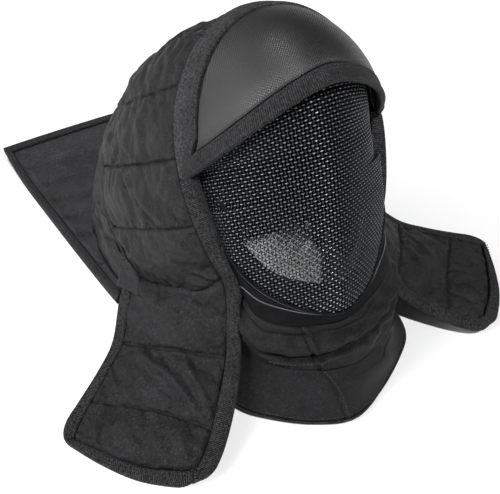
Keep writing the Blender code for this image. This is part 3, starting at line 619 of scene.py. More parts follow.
def bib_at(down, over):
    down, over = np.broadcast_arrays(np.asarray(down, float), np.asarray(over, float))
    net = bib_net()
    return np.einsum("...i,...j,ijk->...k", curve(np.eye(5), down), curve(np.eye(net.shape[1]), over), net)


def jaw_line(over):
    """Line just below the mesh's rim along the jaw. over: 0 on the wearer's right, 1 on the left."""
    q = np.abs(2 * over - 1) * STRIP_REACH
    x = FACE_HALF * np.sin(q * np.pi / 2)
    up = jaw_up(q)
    back = cheek_back(x, up, q)
    rim = world(x * np.sign(2 * over - 1), back, up)
    middle = world(0.0, *FACE_MIDDLE)
    down = unit(np.gradient(rim, axis=0))
    out = unit(rim - world(0.0, -60.0, 120.0))
    down = unit(np.cross(down, out))
    down = down * np.sign((down * (rim - middle)).sum(-1, keepdims=True))
    return rim + down * STRIP_DROP - out * STRIP_SINK


# ---- meshes ----
def mesh_of(name, points, faces, uv, looks, which=None):
    """An object from points in the object's own frame, with uv per point, in metres."""
    mesh = bpy.data.meshes.new(name)
    points = (np.asarray(points) - np.array([0.0, CENTRE_Y, 0.0])) * 0.001
    faces = np.asarray(faces)
    mesh.vertices.add(len(points))
    mesh.vertices.foreach_set("co", points.astype(np.float32).ravel())
    mesh.loops.add(faces.size)
    mesh.loops.foreach_set("vertex_index", faces.ravel().astype(np.int32))
    mesh.polygons.add(len(faces))
    mesh.polygons.foreach_set("loop_start", (np.arange(len(faces)) * faces.shape[1]).astype(np.int32))
    mesh.update(calc_edges=True)
    mesh.validate()
    layer = mesh.uv_layers.new(name="cloth")
    layer.uv.foreach_set("vector", (np.asarray(uv)[faces.ravel()] * 0.001).astype(np.float32).ravel())
    mesh.polygons.foreach_set("use_smooth", np.ones(len(mesh.polygons), bool))
    for look in looks:
        mesh.materials.append(look)
    if which is not None:
        mesh.polygons.foreach_set("material_index", np.asarray(which, np.int32))
    made = bpy.data.objects.new(name, mesh)
    bpy.context.scene.collection.objects.link(made)
    return made


def turned_out(points, faces):
    corner = points[faces]
    size = (np.cross(corner[:, 1] - corner[:, 0], corner[:, 2] - corner[:, 0]) * corner[:, 0]).sum()
    size += (np.cross(corner[:, 2] - corner[:, 0], corner[:, 3] - corner[:, 0]) * corner[:, 0]).sum()
    return faces[:, ::-1] if size < 0 else faces


def loft(rings, uv, caps=True, round_rows=False):
    """Points and faces of a closed profile carried along rows. rings: rows x profile points x 3."""
    n, m = rings.shape[:2]
    points, uv = rings.reshape(-1, 3), np.asarray(uv, float).reshape(-1, 2)
    i, j = np.meshgrid(np.arange(n if round_rows else n - 1), np.arange(m), indexing="ij")
    k, l = (i + 1) % n, (j + 1) % m
    faces = np.stack([i * m + j, k * m + j, k * m + l, i * m + l], -1).reshape(-1, 4)
    if caps and not round_rows:
        half = (m - 1) // 2
        at = np.arange(half)
        for row, turn in ((0, 1), (n - 1, -1)):
            a = row * m + at
            b = row * m + (m - 1 - at)
            quad = np.stack([a, a + 1, b - 1, b], -1)
            keep = quad[:, 1] < quad[:, 2]
            quad = quad[keep]
            faces = np.concatenate([faces, quad[:, ::turn]])
    return points, turned_out(points, faces), uv


def on_line(at, run, points):
    """Points at these distances along a line of points."""
    return np.stack([np.interp(at, run, points[:, k]) for k in range(3)], -1)


def quads(rows, columns):
    """Faces of a grid of points."""
    i, j = np.meshgrid(np.arange(rows - 1), np.arange(columns - 1), indexing="ij")
    a = i * columns + j
    return np.stack([a, a + columns, a + columns + 1, a + 1], -1).reshape(-1, 4)


def tube_faces(n, m):
    """Faces of n rings of m points each, open at the ends."""
    i, j = np.meshgrid(np.arange(n - 1), np.arange(m), indexing="ij")
    k = (j + 1) % m
    return np.stack([i * m + j, i * m + k, (i + 1) * m + k, (i + 1) * m + j], -1).reshape(-1, 4)


def slab(outer, inner, uv):
    """Points and faces of a pad between two grids."""
    n, m = outer.shape[:2]
    points = np.concatenate([outer.reshape(-1, 3), inner.reshape(-1, 3)])
    quad = quads(n, m)
    under = quad[:, ::-1] + n * m
    faces, inside = [quad, under], len(quad)
    i = np.arange(n - 1)
    for j, turned in ((0, False), (m - 1, True)):
        a, b = i * m + j, (i + 1) * m + j
        side = np.stack([b, a, n * m + a, n * m + b], -1)
        faces.append(side[:, ::-1] if turned else side)
    j = np.arange(m - 1)
    for i, turned in ((0, True), (n - 1, False)):
        a, b = i * m + j, i * m + j + 1
        side = np.stack([b, a, n * m + a, n * m + b], -1)
        faces.append(side[:, ::-1] if turned else side)
    uv = np.asarray(uv, float).reshape(-1, 2)
    faces = np.concatenate(faces)
    which = np.zeros(len(faces), int)
    which[inside : 2 * inside] = 1
    return points, turned_out(points, faces), np.concatenate([uv, uv]), which


def joined(parts):
    points, faces, uvs, which, count = [], [], [], [], 0
    for k, (p, f, u) in enumerate(parts):
        points.append(p)
        faces.append(f + count)
        uvs.append(u)
        which.append(np.full(len(f), k))
        count += len(p)
    return np.concatenate(points), np.concatenate(faces), np.concatenate(uvs), np.concatenate(which)


def piece(name, shape, looks, node):
    """Makes the object, attaches it to the root body and hides the CAD node it stands in for."""
    which = shape[3] if len(shape) > 3 and len(looks) > 1 else None
    if which is not None:
        which = np.minimum(which, len(looks) - 1)
    made = mesh_of(name, shape[0], shape[1], shape[2], looks, which)
    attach(made, "root")
    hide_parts(*([node] if isinstance(node, str) else node))
    return made


def pad(name, outer, inner, s, t, looks, node):
    """A piece between two grids, with s and t as the lengths of its cloth."""
    return piece(name, slab(outer, inner, np.stack([s, t], -1)), looks, node)


def lengths(grid, axis):
    """Distance from the first row (axis 0) or column (axis 1) along the grid, in mm."""
    step = np.linalg.norm(np.diff(grid, axis=axis), axis=-1)
    return np.concatenate([np.zeros_like(np.take(step, [0], axis)), np.cumsum(step, axis)], axis)


def rough(points, size, seed=0.0):
    """Smooth noise from -1 to 1 at points of any shape x 3, with features of this size in mm."""
    flat = np.asarray(points, float).reshape(-1, 3) / size + seed
    return np.array([noise.noise(Vector(p)) for p in flat]).reshape(np.shape(points)[:-1]) * 1.6


def spaced(total, step, marks=(), fine=(0.45, 1.0, 1.8, 3.0)):
    """Places from 0 to total about step apart, with closer ones round each mark."""
    near = np.array([0.0, *fine, *(-f for f in fine)])
    keep = [m + o for m in marks for o in near if 0 <= m + o <= total]
    every = np.linspace(0, total, max(int(round(total / step)), 2) + 1)
    if keep:
        gap = np.abs(every[:, None] - np.array(keep)[None]).min(1)
        every = np.concatenate([every[(gap > 0.55 * step) | (every == 0) | (every == total)], keep])
    return np.unique(np.round(every, 4))


def crease_distance(grid, normal, line):
    """Distance of each point from a line of points, signed by side, and its place along it (0 to 1)."""
    line = np.asarray(line, float)
    start, step = line[:-1], np.diff(line, axis=0)
    flat = grid.reshape(-1, 3)
    length = np.maximum((step**2).sum(-1), 1e-9)
    at = np.clip(((flat[:, None] - start) * step).sum(-1) / length, 0, 1)
    foot = start + at[..., None] * step
    away = np.linalg.norm(flat[:, None] - foot, axis=-1)
    k = away.argmin(1)
    pick = np.arange(len(flat))
    side = (np.cross(normal.reshape(-1, 3), step[k]) * (flat - foot[pick, k])).sum(-1)
    total = np.concatenate([[0], np.cumsum(np.sqrt(length))])
    place = (total[k] + at[pick, k] * np.sqrt(length[k])) / total[-1]
    return (away[pick, k] * np.sign(side)).reshape(grid.shape[:2]), place.reshape(grid.shape[:2])


def fold(grid, normal, line, high, wide, lee=0.6):
    """A soft fold along a line of points: a ridge with a hollow on its lee side, dying out at both ends."""
    away, place = crease_distance(grid, normal, line)
    taper = np.sin(np.pi * np.clip(place, 0.02, 0.98)) ** 0.7
    return high * taper * (bell(away, 0.0, wide) - lee * bell(away, 1.7 * wide, 1.1 * wide))


def stitches(line, normal, pitch=3.4, length=2.3, radius=0.42, sink=0.1):
    """A row of thread stitches along a line of points. Each is a short bead with tapered ends."""
    line, normal = np.asarray(line, float), unit(np.asarray(normal, float))
    run = run_of(line)
    count = int(run[-1] / pitch)
    if count < 1:
        return None
    mid = (np.arange(count) + 0.5) * pitch
    along = np.array([-0.5, -0.3, 0.0, 0.3, 0.5]) * length
    fat = np.array([0.25, 0.85, 1.0, 0.85, 0.25]) * radius
    lift = np.array([-0.35, 0.05, 0.2, 0.05, -0.35]) * radius - sink
    at = mid[:, None] + along[None]
    centre = on_line(at, run, line)
    up = unit(on_line(at, run, normal))
    ahead = unit(np.gradient(centre, axis=1))
    side = unit(np.cross(ahead, up))
    centre = centre + up * lift[None, :, None]
    turn = np.arange(5) / 5 * 2 * np.pi
    ring = (
        centre[:, :, None]
        + side[:, :, None] * (np.cos(turn) * 1.15)[None, None, :, None] * fat[None, :, None, None]
        + up[:, :, None] * np.sin(turn)[None, None, :, None] * fat[None, :, None, None]
    )
    n, m = 5, 5
    base = np.arange(count)[:, None, None] * n * m
    faces = (tube_faces(n, m)[None] + base).reshape(-1, 4)
    points = ring.reshape(-1, 3)
    uv = np.zeros((len(points), 2))
    return points, faces, uv


def finer(values):
    """Values on a grid of points, on one with a point more between every two."""
    for axis in (0, 1):
        turned = np.moveaxis(values, axis, 0)
        values = np.moveaxis(curve(turned, np.linspace(0, 1, 2 * len(turned) - 1)), 0, axis)
    return values


def between(values):
    """A row of values with the means of neighbours between them."""
    return np.interp(np.arange(2 * len(values) - 1) / 2, np.arange(len(values)), values)


def settled(grid, held, push, grow, stiff=14.0, bend=0.25, frames=20):
    """The outer cloth of a pad, settled: held at its seams, pushed out by the filling, cut a little long."""
    n, m = grid.shape[:2]
    quad = quads(n, m)
    scene = bpy.context.scene
    made = mesh_of("settling", grid.reshape(-1, 3), quad, np.zeros((n * m, 2)), [])
    group = made.vertex_groups.new(name="held")
    flat = np.round(np.asarray(held, float).ravel(), 2)
    for weight in np.unique(flat[flat > 0]):
        group.add([int(k) for k in np.flatnonzero(flat == weight)], float(weight), "REPLACE")
    cloth = made.modifiers.new("cloth", "CLOTH")
    rule = cloth.settings
    rule.quality, rule.mass, rule.air_damping = 6, 0.1, 3.0
    rule.tension_stiffness = rule.compression_stiffness = stiff
    rule.shear_stiffness, rule.bending_stiffness = 0.4 * stiff, bend
    rule.vertex_group_mass, rule.pin_stiffness = "held", 1.0
    rule.use_pressure, rule.uniform_pressure_force = True, push
    rule.shrink_min = -grow
    rule.effector_weights.gravity = 0.0
    cloth.collision_settings.use_collision = False
    cloth.point_cache.frame_start, cloth.point_cache.frame_end = 1, frames
    for frame_at in range(1, frames + 1):
        scene.frame_set(frame_at)
    shape = made.evaluated_get(bpy.context.evaluated_depsgraph_get()).to_mesh()
    points = np.empty(n * m * 3, np.float32)
    shape.vertices.foreach_get("co", points)
    scene.frame_set(1)
    mesh = made.data
    bpy.data.objects.remove(made)
    bpy.data.meshes.remove(mesh)
    return points.reshape(n, m, 3).astype(float) * 1000 + np.array([0.0, CENTRE_Y, 0.0])


# ---- materials ----
def make(name, colour, rough_at, metal=0.0, sheen=0.0, specular=0.5):
    """A material and its shader, with what every look here starts from."""
    made = bpy.data.materials.new(name)
    made.use_nodes = True
    tree = made.node_tree
    shader = tree.nodes["Principled BSDF"]
    shader.inputs["Base Color"].default_value = (*colour, 1)
    shader.inputs["Roughness"].default_value = rough_at
    shader.inputs["Metallic"].default_value = metal
    shader.inputs["Specular IOR Level"].default_value = specular
    shader.inputs["Sheen Weight"].default_value = sheen
    shader.inputs["Sheen Roughness"].default_value = 0.4
    shader.inputs["Sheen Tint"].default_value = (0.6, 0.6, 0.62, 1)
    return made, tree, shader


def node(tree, kind, *links, **settings):
    """A node with its inputs linked or set in order, and these attributes."""
    made = tree.nodes.new("ShaderNode" + kind)
    for key, value in settings.items():
        setattr(made, key, value)
    for k, value in enumerate(links):
        if value is None:
            continue
        if isinstance(value, bpy.types.NodeSocket):
            tree.links.new(value, made.inputs[k])
        else:
            made.inputs[k].default_value = value
    return made


def math_node(tree, what, *values):
    return node(tree, "Math", *values, operation=what).outputs[0]


def times(tree, *values):
    return math_node(tree, "MULTIPLY", *values)


def cloth_uv(tree):
    """The cloth's own lengths, in metres, as separate u and v sockets."""
    parts = node(tree, "SeparateXYZ", node(tree, "UVMap", uv_map="cloth").outputs[0])
    return parts.outputs[0], parts.outputs[1]


def ribs(tree, value, rate):
    """Rounded ribs, pi / rate apart."""
    return math_node(tree, "ABSOLUTE", math_node(tree, "SINE", times(tree, value, rate)))


def thread_height(tree, pitch, twill):
    """Height of a plain or twill weave with this thread pitch in mm."""
    u, v = cloth_uv(tree)
    k = 1000.0 / pitch
    u, v = times(tree, u, k), times(tree, v, k)
    su, sv = ribs(tree, u, np.pi), ribs(tree, v, np.pi)
    step = math_node(tree, "ADD", math_node(tree, "FLOOR", u), math_node(tree, "FLOOR", v))
    if twill:
        step = times(tree, step, 0.5)
    parity = math_node(tree, "FRACT", times(tree, step, 0.5))
    over = math_node(tree, "GREATER_THAN", parity, 0.45)
    mixed = node(tree, "Mix", data_type="FLOAT")
    tree.links.new(over, mixed.inputs[0])
    tree.links.new(su, mixed.inputs[2])
    tree.links.new(sv, mixed.inputs[3])
    return mixed.outputs[0]


def speckle(tree, size, detail=2.0, rough_in=0.6):
    """Fine mottling of this size in mm, from 0 to 1, fixed to the object."""
    place = node(tree, "TexCoord").outputs["Object"]
    made = node(tree, "TexNoise", place)
    made.inputs["Scale"].default_value = 1000.0 / size
    made.inputs["Detail"].default_value = detail
    made.inputs["Roughness"].default_value = rough_in
    return made.outputs[0]


def ranged(tree, value, low, high, to_low, to_high):
    made = node(tree, "MapRange", value, low, high, to_low, to_high)
    return made.outputs[0]


def mottle(tree, speckles, low, high):
    """Most of a speckle's spread, taken to the range from low to high."""
    return ranged(tree, speckles, 0.3, 0.7, low, high)


def tint(tree, shader, colour, value):
    """Base colour of the shader: this colour times a value socket."""
    mixed = node(tree, "VectorMath", operation="SCALE")
    mixed.inputs[0].default_value = colour
    tree.links.new(value, mixed.inputs["Scale"])
    tree.links.new(mixed.outputs[0], shader.inputs["Base Color"])


def scuff(tree, shader, speckles, low, high):
    """Roughness of the shader, varied from low to high by a speckle."""
    tree.links.new(mottle(tree, speckles, low, high), shader.inputs["Roughness"])


def bump(tree, shader, *layers):
    """Bumps in order: (height socket, depth in mm)."""
    last = None
    for height, depth in layers:
        made = node(tree, "Bump")
        made.inputs["Strength"].default_value = 1.0
        made.inputs["Distance"].default_value = depth * 0.001
        tree.links.new(height, made.inputs["Height"])
        if last is not None:
            tree.links.new(last, made.inputs["Normal"])
        last = made.outputs[0]
    tree.links.new(last, shader.inputs["Normal"])


def cloth_look(name, colour, rough_at, pitch, depth, fuzz, specular, twill=False, nap=0.45):
    """Woven cloth: threads, loose fibre, and slow changes of tone, with painted shade darkening the colour
    between the threads.
    """
    made, tree, shader = make(name, colour, rough_at, specular=specular)
    thread = thread_height(tree, pitch, twill)
    fine, slow = speckle(tree, 2.0, 3.0, 0.8), speckle(tree, 38.0, 3.0)
    dust = ranged(tree, speckle(tree, 1.5, 0.0), 0.64, 0.72, 0.0, 1.4)
    shade = times(tree, mottle(tree, fine, 1 - fuzz, 1 + fuzz), mottle(tree, slow, 0.75, 1.25))
    # painted shade: the colour darkens in the hollows between threads
    shade = times(tree, shade, ranged(tree, thread, 0.0, 1.0, 0.55, 1.2))
    shade = math_node(tree, "ADD", shade, times(tree, dust, fuzz))
    tint(tree, shader, colour, shade)
    scuff(tree, shader, fine, rough_at - 0.12, rough_at + 0.12)
    bump(tree, shader, (thread, depth), (fine, nap))
    return made


def ribbed_look(name, colour, pitch, depth, fuzz, specular, rough_at=0.75):
    """Ribbed tape: ribs across its length, with a fine thread along it, and painted shade darkening the
    colour between the ribs.
    """
    made, tree, shader = make(name, colour, rough_at, specular=specular)
    u, v = cloth_uv(tree)
    rib = ribs(tree, u, np.pi * 1000 / pitch)
    cross = ribs(tree, v, np.pi * 1000 / (pitch * 0.8))
    fine, slow = speckle(tree, 1.8, 2.0, 0.8), speckle(tree, 30.0)
    # painted shade: the colour darkens in the hollows between ribs and threads
    shade = times(tree, ranged(tree, rib, 0.0, 1.0, 0.35, 1.25), ranged(tree, cross, 0.0, 1.0, 0.75, 1.1))
    shade = times(tree, shade, mottle(tree, fine, 1 - fuzz, 1 + fuzz))
    shade = times(tree, shade, mottle(tree, slow, 0.85, 1.15))
    tint(tree, shader, colour, shade)
    scuff(tree, shader, fine, rough_at - 0.1, rough_at + 0.1)
    bump(tree, shader, (rib, depth), (cross, depth * 0.4), (fine, 0.3))
    return made


def steel_look(name, glint):
    """Black-coated steel wire, with a painted highlight on the crowns where it passes over the other wires.
    """
    made, tree, shader = make(name, (0.01, 0.01, 0.01), 0.3, specular=0.12)
    crown, _ = cloth_uv(tree)
    patchy = ranged(tree, speckle(tree, 4.0, 3.0), 0.35, 0.65, 0.45, 1.2)
    # painted highlight: the crowns are coloured lighter and more metallic, standing in for the light they
    # catch
    glint_mask = times(tree, ranged(tree, crown, 0.55, 1.0, 0.0, 1.0), patchy)
    tint(tree, shader, (0.62, 0.64, 0.68), math_node(tree, "ADD", times(tree, glint_mask, glint), 0.008))
    tree.links.new(times(tree, glint_mask, 0.9), shader.inputs["Metallic"])
    scuff(tree, shader, speckle(tree, 2.0), 0.28, 0.42)
    bump(tree, shader, (speckle(tree, 0.8), 0.05))
    return made


def smooth_look(name, colour, rough_at, specular=0.5):
    """Coated webbing and plastic: smooth, with faint scuffs."""
    made, tree, shader = make(name, colour, rough_at, specular=specular)
    fine, slow = speckle(tree, 1.4, 3.0), speckle(tree, 16.0, 4.0)
    tint(tree, shader, colour, times(tree, mottle(tree, fine, 0.75, 1.3), mottle(tree, slow, 0.8, 1.25)))
    scuff(tree, shader, slow, rough_at - 0.1, rough_at + 0.12)
    bump(tree, shader, (fine, 0.08), (slow, 0.2))
    return made


def pile_look(name, colour):
    """Hook-and-loop: a tangle of loops."""
    made, tree, shader = make(name, colour, 0.9, sheen=0.1, specular=0.2)
    fine = speckle(tree, 1.6, 4.0, 0.8)
    tint(tree, shader, colour, mottle(tree, fine, 0.3, 2.2))
    bump(tree, shader, (fine, 0.9))
    return made


LOOKS = {
    # the weft's crowns get a much stronger painted highlight than the warp's, as more light falls on them
    "weft": steel_look("weft", 0.62),
    "warp": steel_look("warp", 0.12),
    "trim": smooth_look("trim", (0.005, 0.005, 0.0055), 0.5, 0.08),
    "bead": smooth_look("bead", (0.085, 0.085, 0.088), 0.45, 0.3),
    "brow": cloth_look("brow", (0.006, 0.006, 0.0065), 0.42, 1.1, 0.2, 0.8, 0.76, nap=0.12),
    "quilt": cloth_look("quilt", (0.0165, 0.0165, 0.0175), 0.50, 0.7, 0.14, 0.6, 0.12, twill=True, nap=0.5),
    # the quilt's own cloth, painted lighter here to stand in for light on the neck panel
    "neck": cloth_look("neck", (0.028, 0.028, 0.0295), 0.50, 0.7, 0.14, 0.6, 0.12, twill=True, nap=0.5),
    "bib": cloth_look("bib", (0.011, 0.011, 0.0118), 0.55, 0.9, 0.12, 0.6, 0.12, nap=0.25),
    # inner faces: a dark lining, painted near black to stand in for the shade inside the hood
    "lining_painted_shade": cloth_look("lining_painted_shade", (0.002, 0.002, 0.0023), 0.9, 0.8, 0.08, 0.3, 0.02),
    "tape": ribbed_look("tape", (0.036, 0.036, 0.0375), 1.5, 0.75, 0.95, 0.06),
    "crown": ribbed_look("crown", (0.056, 0.056, 0.058), 1.5, 0.8, 0.9, 0.1),
    "fine_tape": ribbed_look("fine_tape", (0.027, 0.027, 0.0285), 1.6, 0.5, 0.8, 0.12, rough_at=0.6),
    "pile": pile_look("pile", (0.018, 0.018, 0.019)),
    "thread": smooth_look("thread", (0.036, 0.036, 0.038), 0.6, 0.1),
}


def lined(name):
    """Looks of a pad's outer face and of its lining, a dark cloth painted darker still to stand in for the
    shade inside.
    """
    return [LOOKS[name], LOOKS["lining_painted_shade"]]


# ---- wire mesh ----
WIRE_PITCH = 2.75
WIRE_RADIUS = 0.5
WIRE_SWING = WIRE_RADIUS * 1.15     # how far a wire passes over or under the others
WIRE_SINK = 0.9         # from the mesh's outer face in to the middle of the wires


def wire_rows():
    """The mesh's rows: (x, back, up) from the middle line to the rim, close together."""
    q = np.linspace(0, 1, 241)
    heights = np.linspace(CHIN_UP, PIVOT[1], 400)
    run = np.concatenate([[0], np.cumsum(np.hypot(np.diff(heights), np.diff(ridge(heights))))])
    at = np.interp(np.arange(1.2, run[-1], WIRE_PITCH), run, heights)
    jaw = jaw_up(q)
    rows = []
    for up in at:
        if up < TEMPLE_UP:
            inside = jaw <= up
            low = np.clip((up - jaw) / (TEMPLE_UP - jaw), 0, 1)
            x = (FACE_HALF * (1 - low) + TEMPLE_HALF * low) * np.sin(q * np.pi / 2)
            back = cheek_back(x, up, q)
            rows.append((x[inside], back[inside], np.full(inside.sum(), up)))
        else:
            high = (1 - FACE_PART) * (up - TEMPLE_UP) / (PIVOT[1] - TEMPLE_UP)
            rows.append(cage_line(FACE_PART + high, 241))
    turns = np.linspace(0, 1, 240)
    places = [cage_line(1 + t, 2) for t in turns]
    centre = np.array([(p[1][0], p[2][0]) for p in places])
    run = run_of(centre)
    for t in np.interp(np.arange(0.5, run[-1], WIRE_PITCH), run, turns):
        rows.append(cage_line(1 + max(t, 1e-4), 241))
    return rows


def wire_net():
    """Crossings of the wires: rows x columns x 3, with nan where there is no wire."""
    rows = wire_rows()
    most = 0
    lines = []
    for x, back, up in rows:
        points = world(x, back, up)
        run = run_of(points)
        count = int(run[-1] / WIRE_PITCH) if len(run) > 1 else 0
        at = np.arange(count + 1) * WIRE_PITCH
        half = on_line(at, run, points) if count else points[:1]
        lines.append(half)
        most = max(most, count)
    net = np.full((len(rows), 2 * most + 1, 3), np.nan)
    for i, half in enumerate(lines):
        k = len(half)
        net[i, most : most + k] = half
        net[i, most - k + 1 : most + 1] = mirrored(half[::-1])
    return net


def net_normals(net):
    """Outward normals at the crossings, from whichever neighbours there are."""
    def step(axis):
        ahead, behind = np.roll(net, -1, axis), np.roll(net, 1, axis)
        ends = [slice(None)] * 2
        ends[axis] = -1
        ahead[tuple(ends)] = np.nan
        ends[axis] = 0
        behind[tuple(ends)] = np.nan
        forward = np.where(np.isnan(ahead), net, ahead)
        back = np.where(np.isnan(behind), net, behind)
        return forward - back
    normal = np.cross(step(0), step(1))
    normal = unit(np.nan_to_num(normal))
    out = net - np.array(MESH_INSIDE)
    flip = np.where((normal * np.nan_to_num(out)).sum(-1, keepdims=True) < 0, -1, 1)
    return normal * flip


def wire_tubes(net, normal, axis):
    """Square tubes along one direction of the net. u is 1 where a wire passes over another."""
    if axis == 1:
        net, normal = net.transpose(1, 0, 2), normal.transpose(1, 0, 2)
    n, m = net.shape[:2]
    sign = np.where((np.arange(n)[:, None] + np.arange(m)[None]) % 2, 1.0, -1.0)
    sign = sign if axis == 0 else -sign
    centre = net + normal * (sign * WIRE_SWING - WIRE_SINK)[..., None]
    parts, crowns, count = [], [], 0
    for i in range(n):
        there = ~np.isnan(centre[i, :, 0])
        edges = np.flatnonzero(np.diff(np.concatenate([[0], there.astype(int), [0]])))
        for a, b in zip(edges[::2], edges[1::2]):
            if b - a < 2:
                continue
            line, up = centre[i, a:b], normal[i, a:b]
            side = unit(np.cross(np.gradient(line, axis=0), up))
            up, side = up * WIRE_RADIUS, side * WIRE_RADIUS
            parts.append(np.stack([line + up, line + side, line - up, line - side], 1))
            crowns.append(np.repeat((1 + sign[i, a:b]) / 2, 4))
    points = np.concatenate([p.reshape(-1, 3) for p in parts])
    faces = []
    for ring in parts:
        k = len(ring)
        ends = np.array([[3, 2, 1, 0], [(k - 1) * 4 + t for t in range(4)]])
        faces.append(np.concatenate([tube_faces(k, 4), ends]) + count)
        count += k * 4
    faces = np.concatenate(faces)
    high = np.concatenate(crowns)
    return points, turned_out(points, faces), np.stack([high, 0 * high], -1) * 1000


def mesh_cage():
    net = wire_net()
    normal = net_normals(net)
    piece("mesh_weft", wire_tubes(net, normal, 0), [LOOKS["weft"]], "mesh_cage")
    piece("mesh_warp", wire_tubes(net, normal, 1), [LOOKS["warp"]], "mesh_cage")


def rim_loop():
    """The mesh's rim as a dense closed loop, with its outward normals."""
    face, temple, crown = (0, FACE_PART, 60), (FACE_PART, 1, 14), (1, 2, 60)
    places = np.unique(np.concatenate([np.linspace(*part) for part in (face, temple, crown)]))
    fine = cage_grid(places, 41)
    normal = normals(fine, MESH_INSIDE)
    loop = np.concatenate([fine[0, :-1], fine[:-1, -1], fine[-1, :0:-1], fine[:0:-1, 0]])
    facing = np.concatenate([normal[0, :-1], normal[:-1, -1], normal[-1, :0:-1], normal[:0:-1, 0]])
    return loop, facing


# profile round the rim: in from the edge, and out from the mesh
TRIM_PROFILE = [
    (-1.4, -0.9), (-1.2, 0.5), (-0.3, 1.1), (0.9, 1.1), (1.6, 0.6), (1.5, 0.0), (0.6, -2.6),
    (5.0, -3.7), (10.0, -5.5), (13.6, -6.9), (14.2, -8.1), (13.6, -9.5), (9.0, -8.6), (4.0, -6.9),
    (0.4, -5.2), (-1.0, -3.4),
]
TRIM_EDGE = 3.0         # the part of that profile further in than this widens at the chin


def mesh_trim():
    loop, facing = rim_loop()
    along = unit(np.roll(loop, -1, axis=0) - np.roll(loop, 1, axis=0))
    way = np.cross(along, facing)
    way = unit(way * np.sign((way * (world(0.0, *FACE_MIDDLE) - loop)).sum(-1, keepdims=True)))
    for _ in range(14):
        way = unit(way + np.roll(way, 1, axis=0) + np.roll(way, -1, axis=0))
        facing = unit(facing + np.roll(facing, 1, axis=0) + np.roll(facing, -1, axis=0))
    shape = np.array(TRIM_PROFILE)
    wide = 1 + TRIM_CHIN * chin_share(loop)[:, None] / TRIM_WIDTH * (shape[None, :, 0] > TRIM_EDGE)
    rings = loop[:, None] + way[:, None] * (shape[None, :, 0] * wide)[..., None]
    rings = rings + facing[:, None] * shape[None, :, 1:]
    run = run_of(loop)
    uv = np.stack(np.broadcast_arrays(run[:, None], shape[None, :, 0]), -1)
    points, faces, uv = loft(rings, uv, round_rows=True)
    column = faces % len(shape)
    which = np.where(((column >= 1) & (column <= 2)).all(1), 1, 0)
    piece("mesh_rim", (points, faces, uv, which), [LOOKS["trim"], LOOKS["bead"]], "mesh_trim")


# ---- quilted panels ----
def row_scale(first, last, across=0.5):
    """Rows of the side panel against length along it."""
    rows = np.linspace(first, last, 400)
    run = lengths(side_at(rows, np.full(400, across))[:, None], 0)[:, 0]
    return rows, run


QUILT_ROWS = [0.0, 2.0, 4.0, 6.0, 8.0, 11.0, 13.0, 15.0]


def edge_drop(e, deep=1.8, wide=1.6):
    return -deep * bell(e, 0.0, wide)


# folds of the side panel: row and place across of both ends, height, width
SIDE_FOLDS = {
    "right": [
        (11.2, 0.80, 12.95, 0.06, 4.2, 4.2),
        (6.15, 0.95, 7.9, 0.42, 3.2, 4.2),
        (2.2, 0.92, 5.9, 0.18, 2.6, 5.0),
        (4.2, 0.20, 5.8, 0.04, 1.6, 4.0),
        (8.3, 0.95, 10.6, 0.25, 3.6, 7.0),
        (9.0, 0.45, 10.9, 0.05, 2.8, 4.5),
        (11.2, 0.45, 12.6, 0.03, 2.4, 3.5),
        (7.3, 0.20, 7.95, 0.02, 2.4, 2.0),
        (7.55, 0.30, 7.97, 0.10, 2.0, 2.0),
        (13.3, 0.30, 14.8, 0.10, 2.2, 4.0),
        (0.4, 0.95, 1.8, 0.35, 1.6, 7.0),
        (13.2, 0.95, 14.4, 0.80, 1.0, 4.0),
    ],
    "left": [
        (11.3, 0.25, 12.6, 0.75, 1.8, 5.0),
        (13.3, 0.55, 14.7, 0.15, 1.6, 6.0),
        (8.6, 0.85, 10.6, 0.25, 1.8, 7.0),
        (6.3, 0.15, 7.7, 0.7, 1.7, 5.0),
        (4.2, 0.9, 5.8, 0.2, 1.7, 6.0),
        (2.3, 0.2, 3.8, 0.8, 1.5, 6.5),
        (0.3, 0.9, 1.7, 0.3, 1.5, 6.5),
    ],
}


def cloth_waves(grid, seed, high=(1.1, 0.4)):
    return high[0] * rough(grid, 42.0, seed) + high[1] * rough(grid, 14.0, seed + 7)


def side_sheet(row, columns):
    """Grid of the side panel's outer face on these rows, inside its tapes, with normals and lengths."""
    width = np.array([side_width(r) for r in row])
    tape = HEM_TAPE * np.clip((row - SLIT_ROW + 0.5) / 0.5, 0, 1)
    low, high = GAP / width, 1 - (tape - 0.6 * (tape > 0)) / width
    over = low[:, None] + (high - low)[:, None] * np.linspace(0, 1, columns)[None]
    place = np.repeat(row[:, None], columns, 1)
    grid = rounded(side_at(place, over))
    return grid, side_normal(place, over), lengths(grid, 0), lengths(grid, 1)


def from_seams(t, seams):
    """Distance down a panel from each point to the nearest seam. seams: one row of lengths for each."""
    return np.abs(t[None] - np.array(seams)[:, None]).min(0)


def from_edges(s):
    """Distance from each point to the nearer end of its own row."""
    return np.minimum(s, s[:, -1:] - s)


def seam_form(near, deep=1.5, wide=1.0, lip=0.5):
    """Height beside a stitched-down seam: a groove with a soft lip."""
    return lip * bell(near, 3.2, 1.6) - deep * bell(near, 0.0, wide)


FILLING = 18.0          # push of the filling, as an even pressure


def filled(grid, normal, near, edge, soft, lumps, seam, grow):
    """How far the filling moves a quilted sheet, on a grid twice as fine.

    soft is the distance from a seam or edge at which the sheet is free, seam the half width held at
    a seam, and grow the share by which the cloth is cut too long.
    """
    free = np.clip(near / soft, 0, 1) * np.clip(edge / soft, 0, 1)
    start = 0.8 * free + lumps * free
    held = np.maximum(near < seam, edge < 1.2)
    return finer(settled(grid + normal * start[..., None], held, FILLING, grow) - grid)


def side_seams(t, row):
    return [[np.interp(q, row, column) for column in t.T] for q in QUILT_ROWS]


